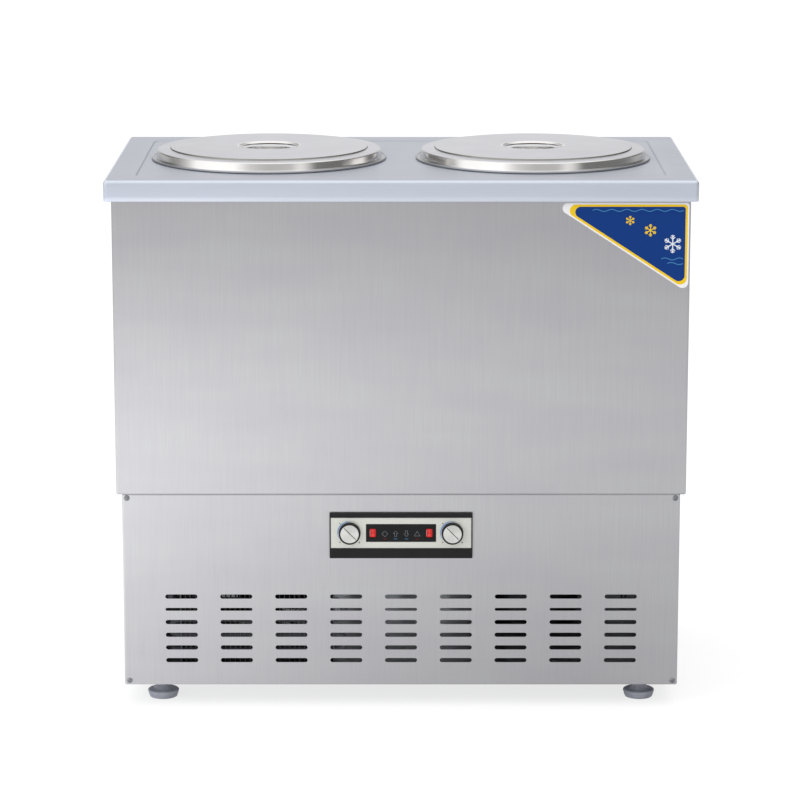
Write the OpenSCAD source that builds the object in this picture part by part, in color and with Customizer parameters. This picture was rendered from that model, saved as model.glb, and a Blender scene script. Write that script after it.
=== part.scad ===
// Broth refrigerator: two lift-out broth pots hang in a chilled upper body, over a machine compartment.
// Lengths are millimetres. +X is the user's right, -Y is the front and +Z is up.
// The origin is on the floor, under the middle of the worktop.

/* [Worktop] */
// Width of the worktop, side to side
worktop_w = 900; // [890:5:1000]
// Depth of the worktop, front to back
worktop_d = 520; // [515:5:600]
// Height of the folded edge that hangs down all round
apron_h = 32; // [26:1:45]
// Thickness of the worktop sheet
worktop_t = 1.2; // [0.8:0.1:1.6]
// Outside radius of the bend round the upper edge
worktop_bend = 5; // [3:0.5:8]
// Width of the raised border that keeps spills on the worktop
border_w = 44; // [36:1:47]
// Height of the border above the field inside it
border_step = 2; // [1:0.5:4]
// How far the worktop hangs over the body on every side
overhang = 11; // [8:1:15]

/* [Body] */
// Height of the lower body's bottom edge above the floor
foot_h = 34; // [30:1:45]
// Height of the machine compartment, from its bottom edge to the seam
lower_h = 307; // [300:1:360]
// Height of the foamed body, from the seam to the worktop's apron
upper_h = 457; // [450:1:520]
// Thickness of the body panels
sheet_t = 1; // [0.8:0.1:1.4]
// Outside radius of the folds round each panel
panel_bend = 2.5; // [2:0.1:3.5]
// Width of the flanges folded back from the edges of each panel
return_w = 14; // [12:1:18]
// How far the lower body stands in from the upper body
inset = 8; // [5:1:10]

/* [Pots and wells] */
// Distance between the middles of the two pots
pot_spacing = 418; // [410:1:430]
// How far the pots stand behind the middle of the worktop
pot_y = 10; // [0:1:12]
// Outside radius of a pot's wall
pot_r = 172; // [165:1:172]
// Depth of a pot below its rim
pot_depth = 395; // [300:5:400]
// Thickness of a pot's wall
pot_t = 1; // [0.8:0.1:1.5]
// Thickness of the rolled bead round a pot's rim
bead_d = 3.6; // [3:0.2:5]
// Thickness of a well's wall
well_t = 1; // [0.8:0.1:1.4]
// Gap between a pot and the rim of its hole in the worktop
pot_gap = 6; // [5:0.5:7]

/* [Lids] */
// Height of a lid's skirt, from the pot's rim to the rim of the lid
lid_skirt_h = 13.5; // [12:0.5:20]
// Rise of a lid's middle above its rim
lid_rise = 4.5; // [3.5:0.5:8]
// Thickness of a lid's sheet
lid_t = 1; // [0.8:0.1:1.4]
// Radius of the raised middle of a lid
lid_disc_r = 154; // [120:1:160]
// Radius of the hand recess at the surface of a lid
recess_r = 47.5; // [44:0.5:60]
// Depth of the hand recess
recess_depth = 20; // [16:1:22]
// Width of the strap handle across the recess
strap_w = 22; // [14:1:26]

/* [Evaporator] */
// Turns of tube round each well
evap_turns = 10; // [6:1:10]
// Rise of the tube in one turn
evap_pitch = 28; // [22:1:30]
// Outside radius of the evaporator tube
evap_tube_r = 4.75; // [3:0.25:5]

/* [Vents] */
// Columns of slots in the front panel
slot_columns = 9; // [5:1:9]
// Rows of slots in the front panel
slot_rows = 6; // [3:1:6]
// Length of a slot
slot_l = 50; // [30:1:60]
// Height of a slot
slot_w = 6.8; // [4:0.2:8]
// Height of the slots in the second row from the top, which are narrower
narrow_slot_w = 4.6; // [3:0.2:6]
// Distance between columns
slot_pitch_x = 85.3; // [75:0.1:88]
// Distance between rows
slot_pitch_z = 20.5; // [14:0.1:21]
// Height of the lowest row above the bottom edge of the panel
slot_bottom = 40; // [32:1:44]

/* [Controls] */
// Width of the black control surround
bezel_w = 221; // [216:1:240]
// Height of the black control surround
bezel_h = 72; // [66:1:80]
// Thickness of the control surround
bezel_t = 4; // [3:0.5:5]
// Height of the metal fascia plate
fascia_h = 48; // [44:1:50]
// Height of the bar of surround that shows above the fascia
top_bar_h = 8; // [4:1:12]
// Distance from the middle of the controls to each knob
knob_x = 79.5; // [76:0.5:81]
// Diameter of a knob's black skirt
knob_d = 34; // [26:1:36]
// Depth of a knob, from its back to its face
knob_h = 9; // [8:0.5:12]
// Distance from the middle of the controls to each switch
switch_x = 43.7; // [38:0.1:45]
// Width of a switch rocker
rocker_w = 9.6; // [8:0.2:10.4]
// Height of a switch rocker
rocker_h = 12.6; // [11:0.2:14]
// Angle that a rocker turns from ON to OFF
rocker_throw = 16; // [10:1:16]

/* [Feet] */
// Radius of a foot's pad, at its widest
pad_r = 24.5; // [18:0.5:28]
// Thickness of a foot's pad
pad_h = 13; // [8:0.5:16]
// Distance of a foot from the side of the lower body
foot_inset_x = 56; // [45:1:70]
// Distance of a foot from the front and back of the lower body
foot_inset_y = 55; // [40:1:60]
// Distance that a foot can be screwed out
foot_travel = 15; // [5:1:15]

/* [Cooling unit] */
// Radius of the compressor's shell
compressor_r = 78; // [65:1:82]
// Height of the compressor's shell
compressor_h = 178; // [150:1:185]
// Radius over the tips of the fan blades
fan_r = 84; // [60:1:86]
// Number of fan blades
fan_blades = 5; // [3:1:7]
// Number of fins on the condenser
fin_count = 30; // [10:1:36]

/* [Hidden] */
$fn = 64;

// Clearances
seam = 0.3;          // between pieces that lie against each other
sliding = 0.05;      // round a stem or shaft that turns or slides in its bore
lid_gap = 4;         // between a lid's skirt and the bead of its pot
through = 1;         // how far a cutter runs past the face that it cuts
arc_steps = 4;       // flats in a quarter of a fold

// Heights
seam_z = foot_h + lower_h;
apron_z = seam_z + upper_h;
border_z = apron_z + apron_h;
field_z = border_z - border_step;
panel_top_z = border_z - worktop_t - seam;
lower_top_z = seam_z - seam;
divider_t = 1.5;
divider_z = seam_z + sheet_t + seam;
foam_z0 = divider_z + divider_t + seam;
foam_z1 = field_z - worktop_t - seam;

// Plan sizes, as half widths and half depths
top_x = worktop_w / 2;
top_y = worktop_d / 2;
upper_x = top_x - overhang;
upper_y = top_y - overhang;
lower_x = upper_x - inset;
lower_y = upper_y - inset;
fold_clear = panel_bend + seam;
foam_in = sheet_t + seam;

// Base pan, whose corners stand inside the corner posts
base_t = 1.5;
base_rim_h = 24;
base_z0 = foot_h + sheet_t + seam;
base_top_z = base_z0 + base_rim_h;
post_w = 30;
post_t = 2;
post_z1 = lower_top_z - sheet_t - seam;
pan_in = fold_clear + post_t + seam;

// Worktop
field_corner = 22;
step_run = 3;
hem_w = overhang - seam;
hole_r = pot_r + pot_gap;
hole_bend = 3;
collar_h = 13;
collar_lap = 3;

// Pots and wells
bead_out = 3;          // from the flat of the worktop's collar to the middle of the bead
bead_ring_r = hole_r + hole_bend + bead_out;
bead_z = field_z + seam + bead_d / 2;
rim_z = bead_z + pot_t / 2;
pot_corner = 14;
pot_rim_bend = 2.5;
pot_floor_z = rim_z - pot_depth;
well_r = hole_r - seam;
well_floor_gap = 8;
well_floor_z = pot_floor_z - well_floor_gap;
well_top_z = field_z - 6;
well_corner = 10;

// Lids
lid_r = bead_ring_r - bead_d / 2 - lid_gap;
lid_z = rim_z + seam;
lid_bend = 4.5;
lid_rim_z = lid_z + lid_skirt_h;
lid_top_z = lid_rim_z + lid_rise;
lid_step = 2;
lid_step_run = 2;
recess_bend = 2.5;
ledge_drop = 4;
ledge_r = recess_r - 2;
dish_r = recess_r - 11;
dish_corner = 5;
strap_t = 2;
strap_rise = 1.5;
strap_end_r = ledge_r - 1;

// Evaporator tube, whose two tails run down into the machine compartment
evap_steps = 24;
evap_r = (well_r + evap_tube_r + seam) / cos(180 / evap_steps);
evap_bottom_z = well_floor_z + 24;
evap_top_z = evap_bottom_z + evap_turns * evap_pitch;
evap_sides = 6;
tail_end_z = seam_z - 14;
inlet_angle = 60;
outlet_angle = 30;
tail_bend = 14;
outlet_r = evap_r + 15;
tail_hole_r = evap_tube_r + 0.75;
coil_room = 14;

// Control panel
control_drop = 66;     // from the seam down to the middle of the surround
control_z = seam_z - control_drop;
fascia_z = control_z + bezel_h / 2 - top_bar_h - fascia_h / 2;
bezel_rim = 1.6;
bezel_corner = 1;
bezel_y = -lower_y - seam;
bezel_front_y = bezel_y - bezel_t;
ledge_t = 1;
ledge_w = 12;
fascia_t = 1.5;
fascia_y = bezel_y - ledge_t - seam;
fascia_front_y = fascia_y - fascia_t;
fascia_w = bezel_w - 2 * bezel_rim - 2 * seam;
window_w = 108;
window_h = 28;
window_corner = 0.8;
window_front_y = fascia_front_y - 0.4;
panel_hole_margin = 9;
housing_w = fascia_w - 2 * ledge_w;
housing_h = fascia_h - 8;
housing_t = 2;
housing_d = 62;
housing_y = bezel_y - ledge_t;
housing_front_t = 1.2;
lens_w = 5.6;
lens_h = 2.4;
lens_pitch = 16.7;
lens_drop = 9.4;
lens_proud = 0.15;

// Knobs, with their shafts in the bushings of the thermostats
shaft_r = 3;
bushing_r = 5;
bushing_front_y = fascia_front_y - 1.2;
thermostat_w = 28;
thermostat_d = 26;
thermostat_y = housing_y + housing_front_t + seam;
knob_y = fascia_front_y - 0.5;
knob_face_y = knob_y - knob_h;
knob_cap_t = 1.6;
knob_cap_r = knob_d / 2 - 2.8;
knob_flange_h = 2;
knob_taper = 0.6;
knob_socket_r = bushing_r + 1;
knob_socket_h = 2.5;
knob_rib_w = 2;
knob_rib_h = 1.2;
pointer_angle = 45;

// Switches
switch_lip = 0.6;
switch_lip_t = 0.8;
switch_play = 0.6;
switch_wall = 0.6;
switch_d = 17;
rocker_pin_r = 1;
rocker_back = 2;
rocker_nose = 1.8;
rocker_dip = 0.9;
rocker_pivot_y = fascia_front_y + 1.2;
switch_cavity = 3.6;
switch_body_w = rocker_w + 2 * (switch_play + switch_wall);
switch_body_h = rocker_h + 2 * (switch_play + switch_wall);

// Screws
screw_r = 1.5;
screw_hole_r = screw_r + seam;
screw_head_r = 4.5;
screw_head_h = 2.2;
screw_edge_x = 7.5;
screw_edge_z = 7;
cross_w = 1.2;
cross_l = 4.6;
cross_depth = 1.2;

// Feet
stem_r = 4.95;
stem_hole_r = stem_r + seam;
foot_nut_r = 9.8;
foot_nut_h = 8;
foot_nut_z = base_top_z - base_t - seam - foot_nut_h;
pad_draft = 3;         // how much narrower a pad is at the floor
foot_hub_r = 15;
foot_neck_r = 10.5;
foot_top_z = foot_nut_z - seam;
stem_top_z = base_top_z + foot_travel + 5;
foot_x = lower_x - foot_inset_x;
foot_y = lower_y - foot_inset_y;

// Compressor
compressor_in = 163;   // from the right feet to the middle of the shell
compressor_x = foot_x - compressor_in;
compressor_y = 40;
mount_h = 10;
plate_t = 3;
plate_x = 200;
plate_y = 150;
plate_z = base_top_z + mount_h + seam;
mount_x = 82;
mount_y = 58;
grommet_r = 12;
grommet_neck_r = 7;
grommet_top_h = 4;
bolt_r = 3;
bolt_head_r = 5.5;
shell_z = plate_z + plate_t;
shell_crown = 34;
shell_foot_r = compressor_r - 10;
shell_foot_h = 2;
shell_flare_h = 12;
stub_r = 6.5;
stub_l = 14;
discharge_run = 60;    // from the stub to the discharge line's turn to the front
discharge_drop_y = 54; // depth over which that line comes down to the condenser
discharge_z = shell_z + 0.72 * compressor_h;
suction_z = shell_z + 0.3 * compressor_h;
cover_w = 56;
cover_h = 62;
cover_d = 26;
cover_wall = 2;

// Condenser and fan
condenser_w = 240;
condenser_h = 190;
condenser_depth = 44;
condenser_gap = 26;    // air space between the front panel's face and the fins
condenser_y = condenser_gap + condenser_depth / 2 - lower_y;
condenser_z = base_top_z + seam;
tube_rows = 7;
row_pitch = 25;
column_pitch = 22;
tube_r = 4.75;
tube_overrun = 4;
fin_t = 0.5;
end_plate_t = 1.5;
stem_clear = 4;
condenser_x = condenser_w / 2 + tube_overrun + row_pitch / 2 + tube_r + stem_clear + stem_r - foot_x;
low_row_z = condenser_z + (condenser_h - (tube_rows - 1) * row_pitch) / 2;
top_row_z = low_row_z + (tube_rows - 1) * row_pitch;
tube_end_x = condenser_x + condenser_w / 2 + tube_overrun;
shroud_y = condenser_y + condenser_depth / 2 + 4;
shroud_t = 1.2;
shroud_ring_h = 22;
fan_tip_gap = 4;
ring_r = fan_r + fan_tip_gap;
fan_z = condenser_z + condenser_h / 2;
fan_hub_r = 22;
fan_y = shroud_y + 12;
fan_depth = 18;
blade_t = 1.6;
blade_root_w = 26;
blade_swell = 18;
blade_pitch = 34;
blade_twist = 16;
motor_r = 34;
motor_h = 46;
motor_y = fan_y + fan_depth / 2 + 5;
motor_shaft_r = 4;
arm_w = 9;
arm_t = 3;
arm_r = ring_r + shroud_t + seam + arm_t;

// Pipes and valves
pipe_r = 3.2;
pipe_bend = 14;
suction_bend = 20;
drier_r = 10;
drier_l = 92;
drier_neck_l = 8;
drier_cone_l = 20;
drier_clear = 3.55;    // from the condenser's return bends
drier_x = tube_end_x + row_pitch / 2 + tube_r + drier_clear + drier_r;
drier_y = -40;
drier_z = 180;
drier_lead = 40;       // straight run of pipe at each end of the drier
liquid_turn_x = drier_x - 16;
valve_x = 110;
valve_y = pot_y + evap_r * sin(inlet_angle);
valve_r = 9;
valve_h = 24;
coil_w = 32;
coil_h = 36;
valve_hanger_h = 8;
valve_top_z = divider_z - seam;
coil_z = valve_top_z - valve_hanger_h - coil_h;
valve_z = coil_z - valve_h;
branch_z = valve_z - 22;
suction_run_z = seam_z - 36;
suction_drop = 60;     // height over which the suction line slopes to the compressor

// Cable gland
gland_in = 101;        // from the right side of the lower body
gland_x = lower_x - gland_in;
gland_up = 62;
gland_z = foot_h + gland_up;
gland_bore_r = 4.5;
gland_body_r = 7.5;
gland_flange_r = 11;
gland_flange_t = 3;
gland_l = 10;
gland_nut_t = 5;
back_columns = 5;

// Points on an arc round c from angle a0 to a1, in n steps
function arc(c, r, a0, a1, n) =
  [for (i = [0:n]) let (a = a0 + (a1 - a0) * i / n) c + r * [cos(a), sin(a)]];

// Outline of a rounded rectangle, anticlockwise
function rounded_rect(hx, hy, r) = concat(
  arc([hx - r, hy - r], r, 0, 90, arc_steps), arc([r - hx, hy - r], r, 90, 180, arc_steps),
  arc([r - hx, r - hy], r, 180, 270, arc_steps), arc([hx - r, r - hy], r, 270, 360, arc_steps));

// Outline of a slot with round ends, along X
function stadium(l, w) = concat(
  arc([(l - w) / 2, 0], w / 2, -90, 90, 2 * arc_steps), arc([(w - l) / 2, 0], w / 2, 90, 270, 2 * arc_steps));

function unit(v) = v / norm(v);
function reversed(list) = [for (i = [len(list) - 1:-1:0]) list[i]];
function at_height(outline, z) = [for (p = outline) [p.x, p.y, z]];

// An open line of points moved to its left by d
function left_of(a, b) = let (v = unit(b - a)) [-v.y, v.x];
function offset_line(p, d) = [for (i = [0:len(p) - 1])
  let (
    before = left_of(p[max(i - 1, 0)], p[max(i - 1, 0) + 1]),
    after = left_of(p[min(i, len(p) - 2)], p[min(i, len(p) - 2) + 1]),
    middle = unit(before + after)
  ) p[i] + middle * d / (middle * before)];

// Section of a sheet of thickness t that lies to the left of a line
function sheet_section(p, t) = concat(p, reversed(offset_line(p, t)));

// A path in space with each corner eased into a curve that starts r before it
function eased(p, r, n = 4) = concat([p[0]], [for (i = [1:len(p) - 2]) each
  let (a = p[i] + unit(p[i - 1] - p[i]) * r, b = p[i] + unit(p[i + 1] - p[i]) * r)
  [for (k = [0:n]) let (s = k / n) (1 - s) * (1 - s) * a + 2 * s * (1 - s) * p[i] + s * s * b]],
  [p[len(p) - 1]]);

// Directions along a path, and a normal carried along it without twist
function directions(p) = [for (i = [0:len(p) - 1]) unit(p[min(i + 1, len(p) - 1)] - p[max(i - 1, 0)])];
function first_normal(t) = unit(cross(t, abs(t.z) < 0.9 ? [0, 0, 1] : [1, 0, 0]));
function carried(t) = [for (i = 0, n = first_normal(t[0]); i < len(t);
  i = i + 1, n = i < len(t) ? unit(n - (n * t[i]) * t[i]) : n) n];

// A closed solid through rings of points that each have the same number of points
module skin(rings) {
  n = len(rings[0]);
  last = len(rings) - 1;
  polyhedron(points = [for (ring = rings) each ring], faces = concat(
    [[for (i = [0:n - 1]) i]],
    [for (k = [0:last - 1], i = [0:n - 1]) each
      let (a = k * n + i, b = k * n + (i + 1) % n, c = b + n, d = a + n) [[a, d, c], [a, c, b]]],
    [[for (i = [n - 1:-1:0]) last * n + i]]));
}

// A round tube or rod along a path
module rod_along(path, r, sides = 8) {
  t = directions(path);
  n = carried(t);
  skin([for (i = [0:len(path) - 1]) let (b = cross(t[i], n[i]))
    [for (k = [0:sides - 1]) path[i] + r * (cos(360 * k / sides) * n[i] + sin(360 * k / sides) * b)]]);
}

// A rod along +Y from y0 to y1
module rod_y(x, z, y0, y1, r) {
  translate([x, y0, z]) rotate([-90, 0, 0]) cylinder(h = y1 - y0, r = r);
}

// A block between two corners that are given by ranges along each axis
module block(x, y, z) {
  translate([x[0], y[0], z[0]]) cube([x[1] - x[0], y[1] - y[0], z[1] - z[0]]);
}

// The range of a length of two halves round its middle
function about(middle, half) = [middle - half, middle + half];

// A flat piece in the plane of the front, from y0 back to y1, round the point (x, z)
module front_plate(x, z, y0, y1) {
  translate([x, y1, z]) rotate([90, 0, 0]) linear_extrude(y1 - y0) children();
}

// The same child on the right, or mirrored to the left
module on_side(side) {
  if (side > 0) children();
  else mirror([1, 0, 0]) children();
}

module at_pot(side) {
  translate([side * pot_spacing / 2, pot_y, 0]) children();
}

// Folded tray, with its face up at z = 0 and its flanges running down by depth
module tray_block(hx, hy, depth, bend, corner) {
  skin(concat([at_height(rounded_rect(hx, hy, corner), -depth)],
    [for (i = [0:arc_steps]) let (a = 90 * i / arc_steps, in = bend * (1 - cos(a)))
      at_height(rounded_rect(hx - in, hy - in, corner - in), -bend + bend * sin(a))]));
}

module tray(hx, hy, depth, t, bend) {
  corner = bend + 0.5;
  difference() {
    tray_block(hx, hy, depth, bend, corner);
    translate([0, 0, -t]) tray_block(hx - t, hy - t, depth, bend - t, corner - t);
  }
}

// A tray stood up as a front panel: its face looks along -Y at y = -face_y
module front_tray(hx, face_y, z0, z1) {
  translate([0, -face_y, (z0 + z1) / 2]) rotate([90, 0, 0])
    tray(hx, (z1 - z0) / 2, return_w, sheet_t, panel_bend);
}

// Side panel on the right: a sheet with flanges folded in along its top and bottom
module side_channel(face_x, half_d, z0, z1) {
  outline = concat([[-return_w, z0]], arc([-panel_bend, z0 + panel_bend], panel_bend, -90, 0, arc_steps),
    arc([-panel_bend, z1 - panel_bend], panel_bend, 0, 90, arc_steps), [[-return_w, z1]]);
  translate([face_x, half_d, 0]) rotate([90, 0, 0])
    linear_extrude(2 * half_d) polygon(sheet_section(outline, sheet_t));
}

// Places of the screws in the lower front and back panels
module at_screws() {
  for (x = [screw_edge_x - lower_x, lower_x - screw_edge_x],
    z = [foot_h + screw_edge_z, lower_top_z - screw_edge_z]) translate([x, 0, z]) children();
}

module screw_holes() {
  at_screws() rod_y(0, 0, -top_y, top_y, screw_hole_r);
}

module slot_field(columns, y0, y1) {
  for (row = [0:slot_rows - 1], column = [0:columns - 1])
    front_plate((column - (columns - 1) / 2) * slot_pitch_x,
      foot_h + slot_bottom + row * slot_pitch_z, y0, y1)
      polygon(stadium(slot_l, row == slot_rows - 2 ? narrow_slot_w : slot_w));
}

// Worktop: pressed sheet with a raised border, a hemmed apron, and a drawn collar round each pot hole
function worktop_ring(in, z, corner) = at_height(rounded_rect(top_x - in, top_y - in, corner), z);

// Upper surface of the sheet where t is 0, and the hollow under it where t is the sheet's thickness
function worktop_rings(t) = let (b = worktop_bend - t) concat(
  [for (i = [0:arc_steps]) let (a = 90 * i / arc_steps, in = t + b * (1 - cos(a)))
    worktop_ring(in, border_z - t - b + b * sin(a), worktop_bend + 1 - in)],
  [worktop_ring(border_w, border_z - t, field_corner),
   worktop_ring(border_w + step_run, field_z - t, field_corner)]);

module worktop_collar() {
  turn = hole_r + hole_bend;
  outline = concat([[turn + collar_lap, 0]], arc([turn, -hole_bend], hole_bend, 90, 180, arc_steps),
    [[hole_r, -collar_h]]);
  translate([0, 0, field_z]) rotate_extrude() polygon(sheet_section(outline, worktop_t));
}

module worktop() {
  color("gainsboro") {
    difference() {
      skin(concat([worktop_ring(0, apron_z, worktop_bend + 1)], worktop_rings(0)));
      skin(concat([worktop_ring(worktop_t, apron_z + worktop_t, worktop_bend + 1 - worktop_t)],
        worktop_rings(worktop_t)));
      block(about(0, top_x - hem_w), about(0, top_y - hem_w), [apron_z - through, apron_z + 2 * worktop_t]);
      for (side = [-1, 1]) at_pot(side) translate([0, 0, apron_z])
        cylinder(h = 2 * apron_h, r = hole_r + hole_bend + collar_lap / 2);
    }
    for (side = [-1, 1]) at_pot(side) worktop_collar();
  }
}

module upper_front_panel() {
  color("silver") front_tray(upper_x, upper_y, seam_z, panel_top_z);
}

module upper_back_panel() {
  color("silver") rotate(180) front_tray(upper_x, upper_y, seam_z, panel_top_z);
}

module upper_side_panel(side) {
  color("silver") on_side(side) side_channel(upper_x, upper_y - return_w - seam, seam_z, panel_top_z);
}

// Points round a well's middle
function around(r, a, z) = [r * cos(a), r * sin(a), z];

// The two tails of an evaporator, of which the outer one comes down outside the coil
module at_tails(side) {
  on_side(side) at_pot(1) for (tail = [around(evap_r, inlet_angle, 0), around(outlet_r, outlet_angle, 0)])
    translate(tail) children();
}

module divider_plate() {
  color("lightgrey") difference() {
    block([fold_clear - upper_x, upper_x - fold_clear], [fold_clear - upper_y, upper_y - fold_clear],
      [divider_z, divider_z + divider_t]);
    for (side = [-1, 1]) at_tails(side) translate([0, 0, divider_z - through])
      cylinder(h = divider_t + 2 * through, r = tail_hole_r);
  }
}

// Room in the foam for one well, its coil and the worktop's collar
module well_room() {
  neck_r = well_r + seam;
  collar_room_r = hole_r + worktop_t + seam;
  bend_room_r = hole_r + hole_bend + seam;
  bend_z = field_z - worktop_t - hole_bend;
  rotate_extrude() polygon([
    [0, well_floor_z - well_t - seam], [neck_r, well_floor_z - well_t - seam],
    [neck_r, evap_bottom_z - coil_room], [evap_r + evap_tube_r + seam, evap_bottom_z - coil_room],
    [evap_r + evap_tube_r + seam, evap_top_z - coil_room], [outlet_r + tail_hole_r, evap_top_z - coil_room],
    [outlet_r + tail_hole_r, evap_top_z + coil_room], [neck_r, evap_top_z + coil_room],
    [neck_r, field_z - collar_h - seam], [collar_room_r, field_z - collar_h - seam],
    [collar_room_r, bend_z], [bend_room_r, bend_z + hole_bend / 2],
    [bend_room_r, foam_z1 + through], [0, foam_z1 + through]]);
}

module insulation_foam() {
  color("khaki") difference() {
    translate([0, 0, foam_z0]) linear_extrude(foam_z1 - foam_z0)
      polygon(rounded_rect(upper_x - foam_in, upper_y - foam_in, panel_bend - foam_in));
    for (side = [-1, 1]) {
      at_pot(side) well_room();
      at_tails(side) translate([0, 0, foam_z0 - through])
        cylinder(h = evap_top_z - foam_z0, r = tail_hole_r);
    }
  }
}

module well(side) {
  outline = concat([[0, well_floor_z - well_t]],
    arc([well_r - well_corner, well_floor_z - well_t + well_corner], well_corner, -90, 0, arc_steps),
    [[well_r, well_top_z]]);
  color("silver") at_pot(side) rotate_extrude() polygon(sheet_section(outline, well_t));
}

// One unbroken tube: up the inner tail, round the well, out to the outer tail and down
function evaporator_path() = let (
    sweep = 360 * evap_turns - (inlet_angle - outlet_angle),
    steps = round(sweep * evap_steps / 360),
    coil = [for (i = [1:steps - 1]) around(evap_r, inlet_angle + sweep * i / steps,
      evap_bottom_z + (evap_top_z - evap_bottom_z) * i / steps)],
    last = len(coil) - 1
  ) concat(
    eased([around(evap_r, inlet_angle, tail_end_z), around(evap_r, inlet_angle, evap_bottom_z), coil[0]],
      tail_bend),
    [for (i = [1:last - 1]) coil[i]],
    eased([coil[last], around(outlet_r, outlet_angle, evap_top_z),
      around(outlet_r, outlet_angle, tail_end_z)], tail_bend));

// Least gap between stretches of a tube that are more than two diameters apart along it
function least_gap(path, r) = let (
    run = [for (i = 0, s = 0; i < len(path);
      i = i + 1, s = s + (i < len(path) ? norm(path[i] - path[i - 1]) : 0)) s]
  ) min([for (i = [0:len(path) - 1], j = [i + 1:1:len(path) - 1]) if (run[j] - run[i] > 8 * r)
    norm(path[i] - path[j])]) - 2 * r;

module evaporator(side) {
  path = evaporator_path();
  echo(str("evaporator: least gap ", least_gap(path, evap_tube_r), " mm between its turns"));
  color("peru") on_side(side) at_pot(1) rod_along(path, evap_tube_r, evap_sides);
}

module lower_front_panel() {
  color("silver") difference() {
    front_tray(lower_x, lower_y, foot_h, lower_top_z);
    slot_field(slot_columns, -lower_y - through, -lower_y + sheet_t + through);
    block(about(0, bezel_w / 2 - panel_hole_margin), [-lower_y - through, -lower_y + sheet_t + through],
      [control_z - bezel_h / 2 + panel_hole_margin, control_z + bezel_h / 2 - panel_hole_margin]);
    screw_holes();
  }
}

module lower_back_panel() {
  color("silver") difference() {
    rotate(180) front_tray(lower_x, lower_y, foot_h, lower_top_z);
    translate([condenser_x / 2, 0, 0])
      slot_field(back_columns, lower_y - sheet_t - through, lower_y + through);
    screw_holes();
    rod_y(gland_x, gland_z, lower_y - sheet_t - through, lower_y + through, gland_body_r + seam);
  }
}

module lower_side_panel(side) {
  color("silver") on_side(side) side_channel(lower_x, lower_y - return_w - seam, foot_h, lower_top_z);
}

module base_pan() {
  color("lightgrey") difference() {
    translate([0, 0, base_top_z]) tray(lower_x - pan_in, lower_y - pan_in, base_rim_h, base_t, panel_bend);
    for (x = [-foot_x, foot_x], y = [-foot_y, foot_y]) translate([x, y, base_z0])
      cylinder(h = base_rim_h + through, r = stem_hole_r);
    at_mounts() translate([0, 0, base_z0]) cylinder(h = base_rim_h + through, r = bolt_r + seam);
  }
}

// Angle posts in the four corners of the lower body
module corner_posts() {
  outline = concat([[0, post_w]], arc([1, 1] * panel_bend, panel_bend, 180, 270, arc_steps), [[post_w, 0]]);
  color("lightgrey") difference() {
    for (a = [0, 1], b = [0, 1]) mirror([a, 0, 0]) mirror([0, b, 0])
      translate([fold_clear - lower_x, fold_clear - lower_y, base_z0])
        linear_extrude(post_z1 - base_z0) polygon(sheet_section(outline, post_t));
    screw_holes();
  }
}

// Cross-head screws that hold the lower front and back panels to the posts
module panel_screws() {
  color("dimgrey") for (turn = [0, 180]) rotate(turn) at_screws() difference() {
    union() {
      rod_y(0, 0, -lower_y - screw_head_h, -lower_y, screw_head_r);
      rod_y(0, 0, -lower_y - screw_head_h, post_t + fold_clear - lower_y, screw_r);
    }
    for (turn_y = [0, 90]) rotate([0, turn_y, 0])
      block(about(0, cross_l / 2), [-through, cross_depth] - [1, 1] * (lower_y + screw_head_h),
        about(0, cross_w / 2));
  }
}

module cable_gland() {
  color("dimgrey") difference() {
    union() {
      rod_y(gland_x, gland_z, lower_y - sheet_t - gland_nut_t, lower_y + gland_l, gland_body_r);
      rod_y(gland_x, gland_z, lower_y, lower_y + gland_flange_t, gland_flange_r);
      rod_y(gland_x, gland_z, lower_y - sheet_t - gland_nut_t, lower_y - sheet_t, gland_flange_r);
    }
    rod_y(gland_x, gland_z, lower_y - sheet_t - gland_nut_t - through, lower_y + gland_l + through,
      gland_bore_r);
  }
}

module at_mounts() {
  for (x = [-mount_x, mount_x], y = [-mount_y, mount_y])
    translate([compressor_x + x, compressor_y + y, 0]) children();
}

// Welded compressor: a domed shell on a plate, with two pipe stubs
module compressor() {
  crown = [for (i = [1:6]) let (a = 90 * i / 6)
    [compressor_r * cos(a), shell_z + compressor_h - shell_crown + shell_crown * sin(a)]];
  color("#26282b") difference() {
    union() {
      translate([compressor_x, compressor_y, 0]) rotate_extrude() polygon(concat(
        [[0, shell_z - plate_t / 2], [shell_foot_r, shell_z - plate_t / 2],
         [shell_foot_r, shell_z + shell_foot_h], [compressor_r, shell_z + shell_flare_h],
         [compressor_r, shell_z + compressor_h - shell_crown]], crown));
      block(about(compressor_x, plate_x / 2), about(compressor_y, plate_y / 2), [plate_z, shell_z]);
      translate([compressor_x, compressor_y, discharge_z]) rotate([0, -90, 0])
        cylinder(h = compressor_r + stub_l, r = stub_r);
      translate([compressor_x, compressor_y, suction_z]) rotate([0, 90, 0])
        cylinder(h = compressor_r + stub_l, r = stub_r);
    }
    at_mounts() translate([0, 0, plate_z - through])
      cylinder(h = plate_t + 2 * through, r = grommet_neck_r + seam);
  }
}

// Rubber mounts under the compressor's plate, each with its bolt
module compressor_mounts() {
  top_z = shell_z + seam + grommet_top_h;
  color("#1d1d1f") at_mounts() {
    translate([0, 0, base_top_z]) rotate_extrude() polygon([
      [bolt_r + seam, 0], [grommet_r, 0], [grommet_r, mount_h], [grommet_neck_r, mount_h],
      [grommet_neck_r, shell_z + seam - base_top_z], [grommet_r - 2, shell_z + seam - base_top_z],
      [grommet_r - 2, top_z - base_top_z], [bolt_r + seam, top_z - base_top_z]]);
    translate([0, 0, base_top_z - base_t]) cylinder(h = top_z - base_top_z + base_t, r = bolt_r);
    translate([0, 0, top_z]) cylinder(h = bolt_r, r = bolt_head_r, $fn = 6);
  }
}

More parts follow.
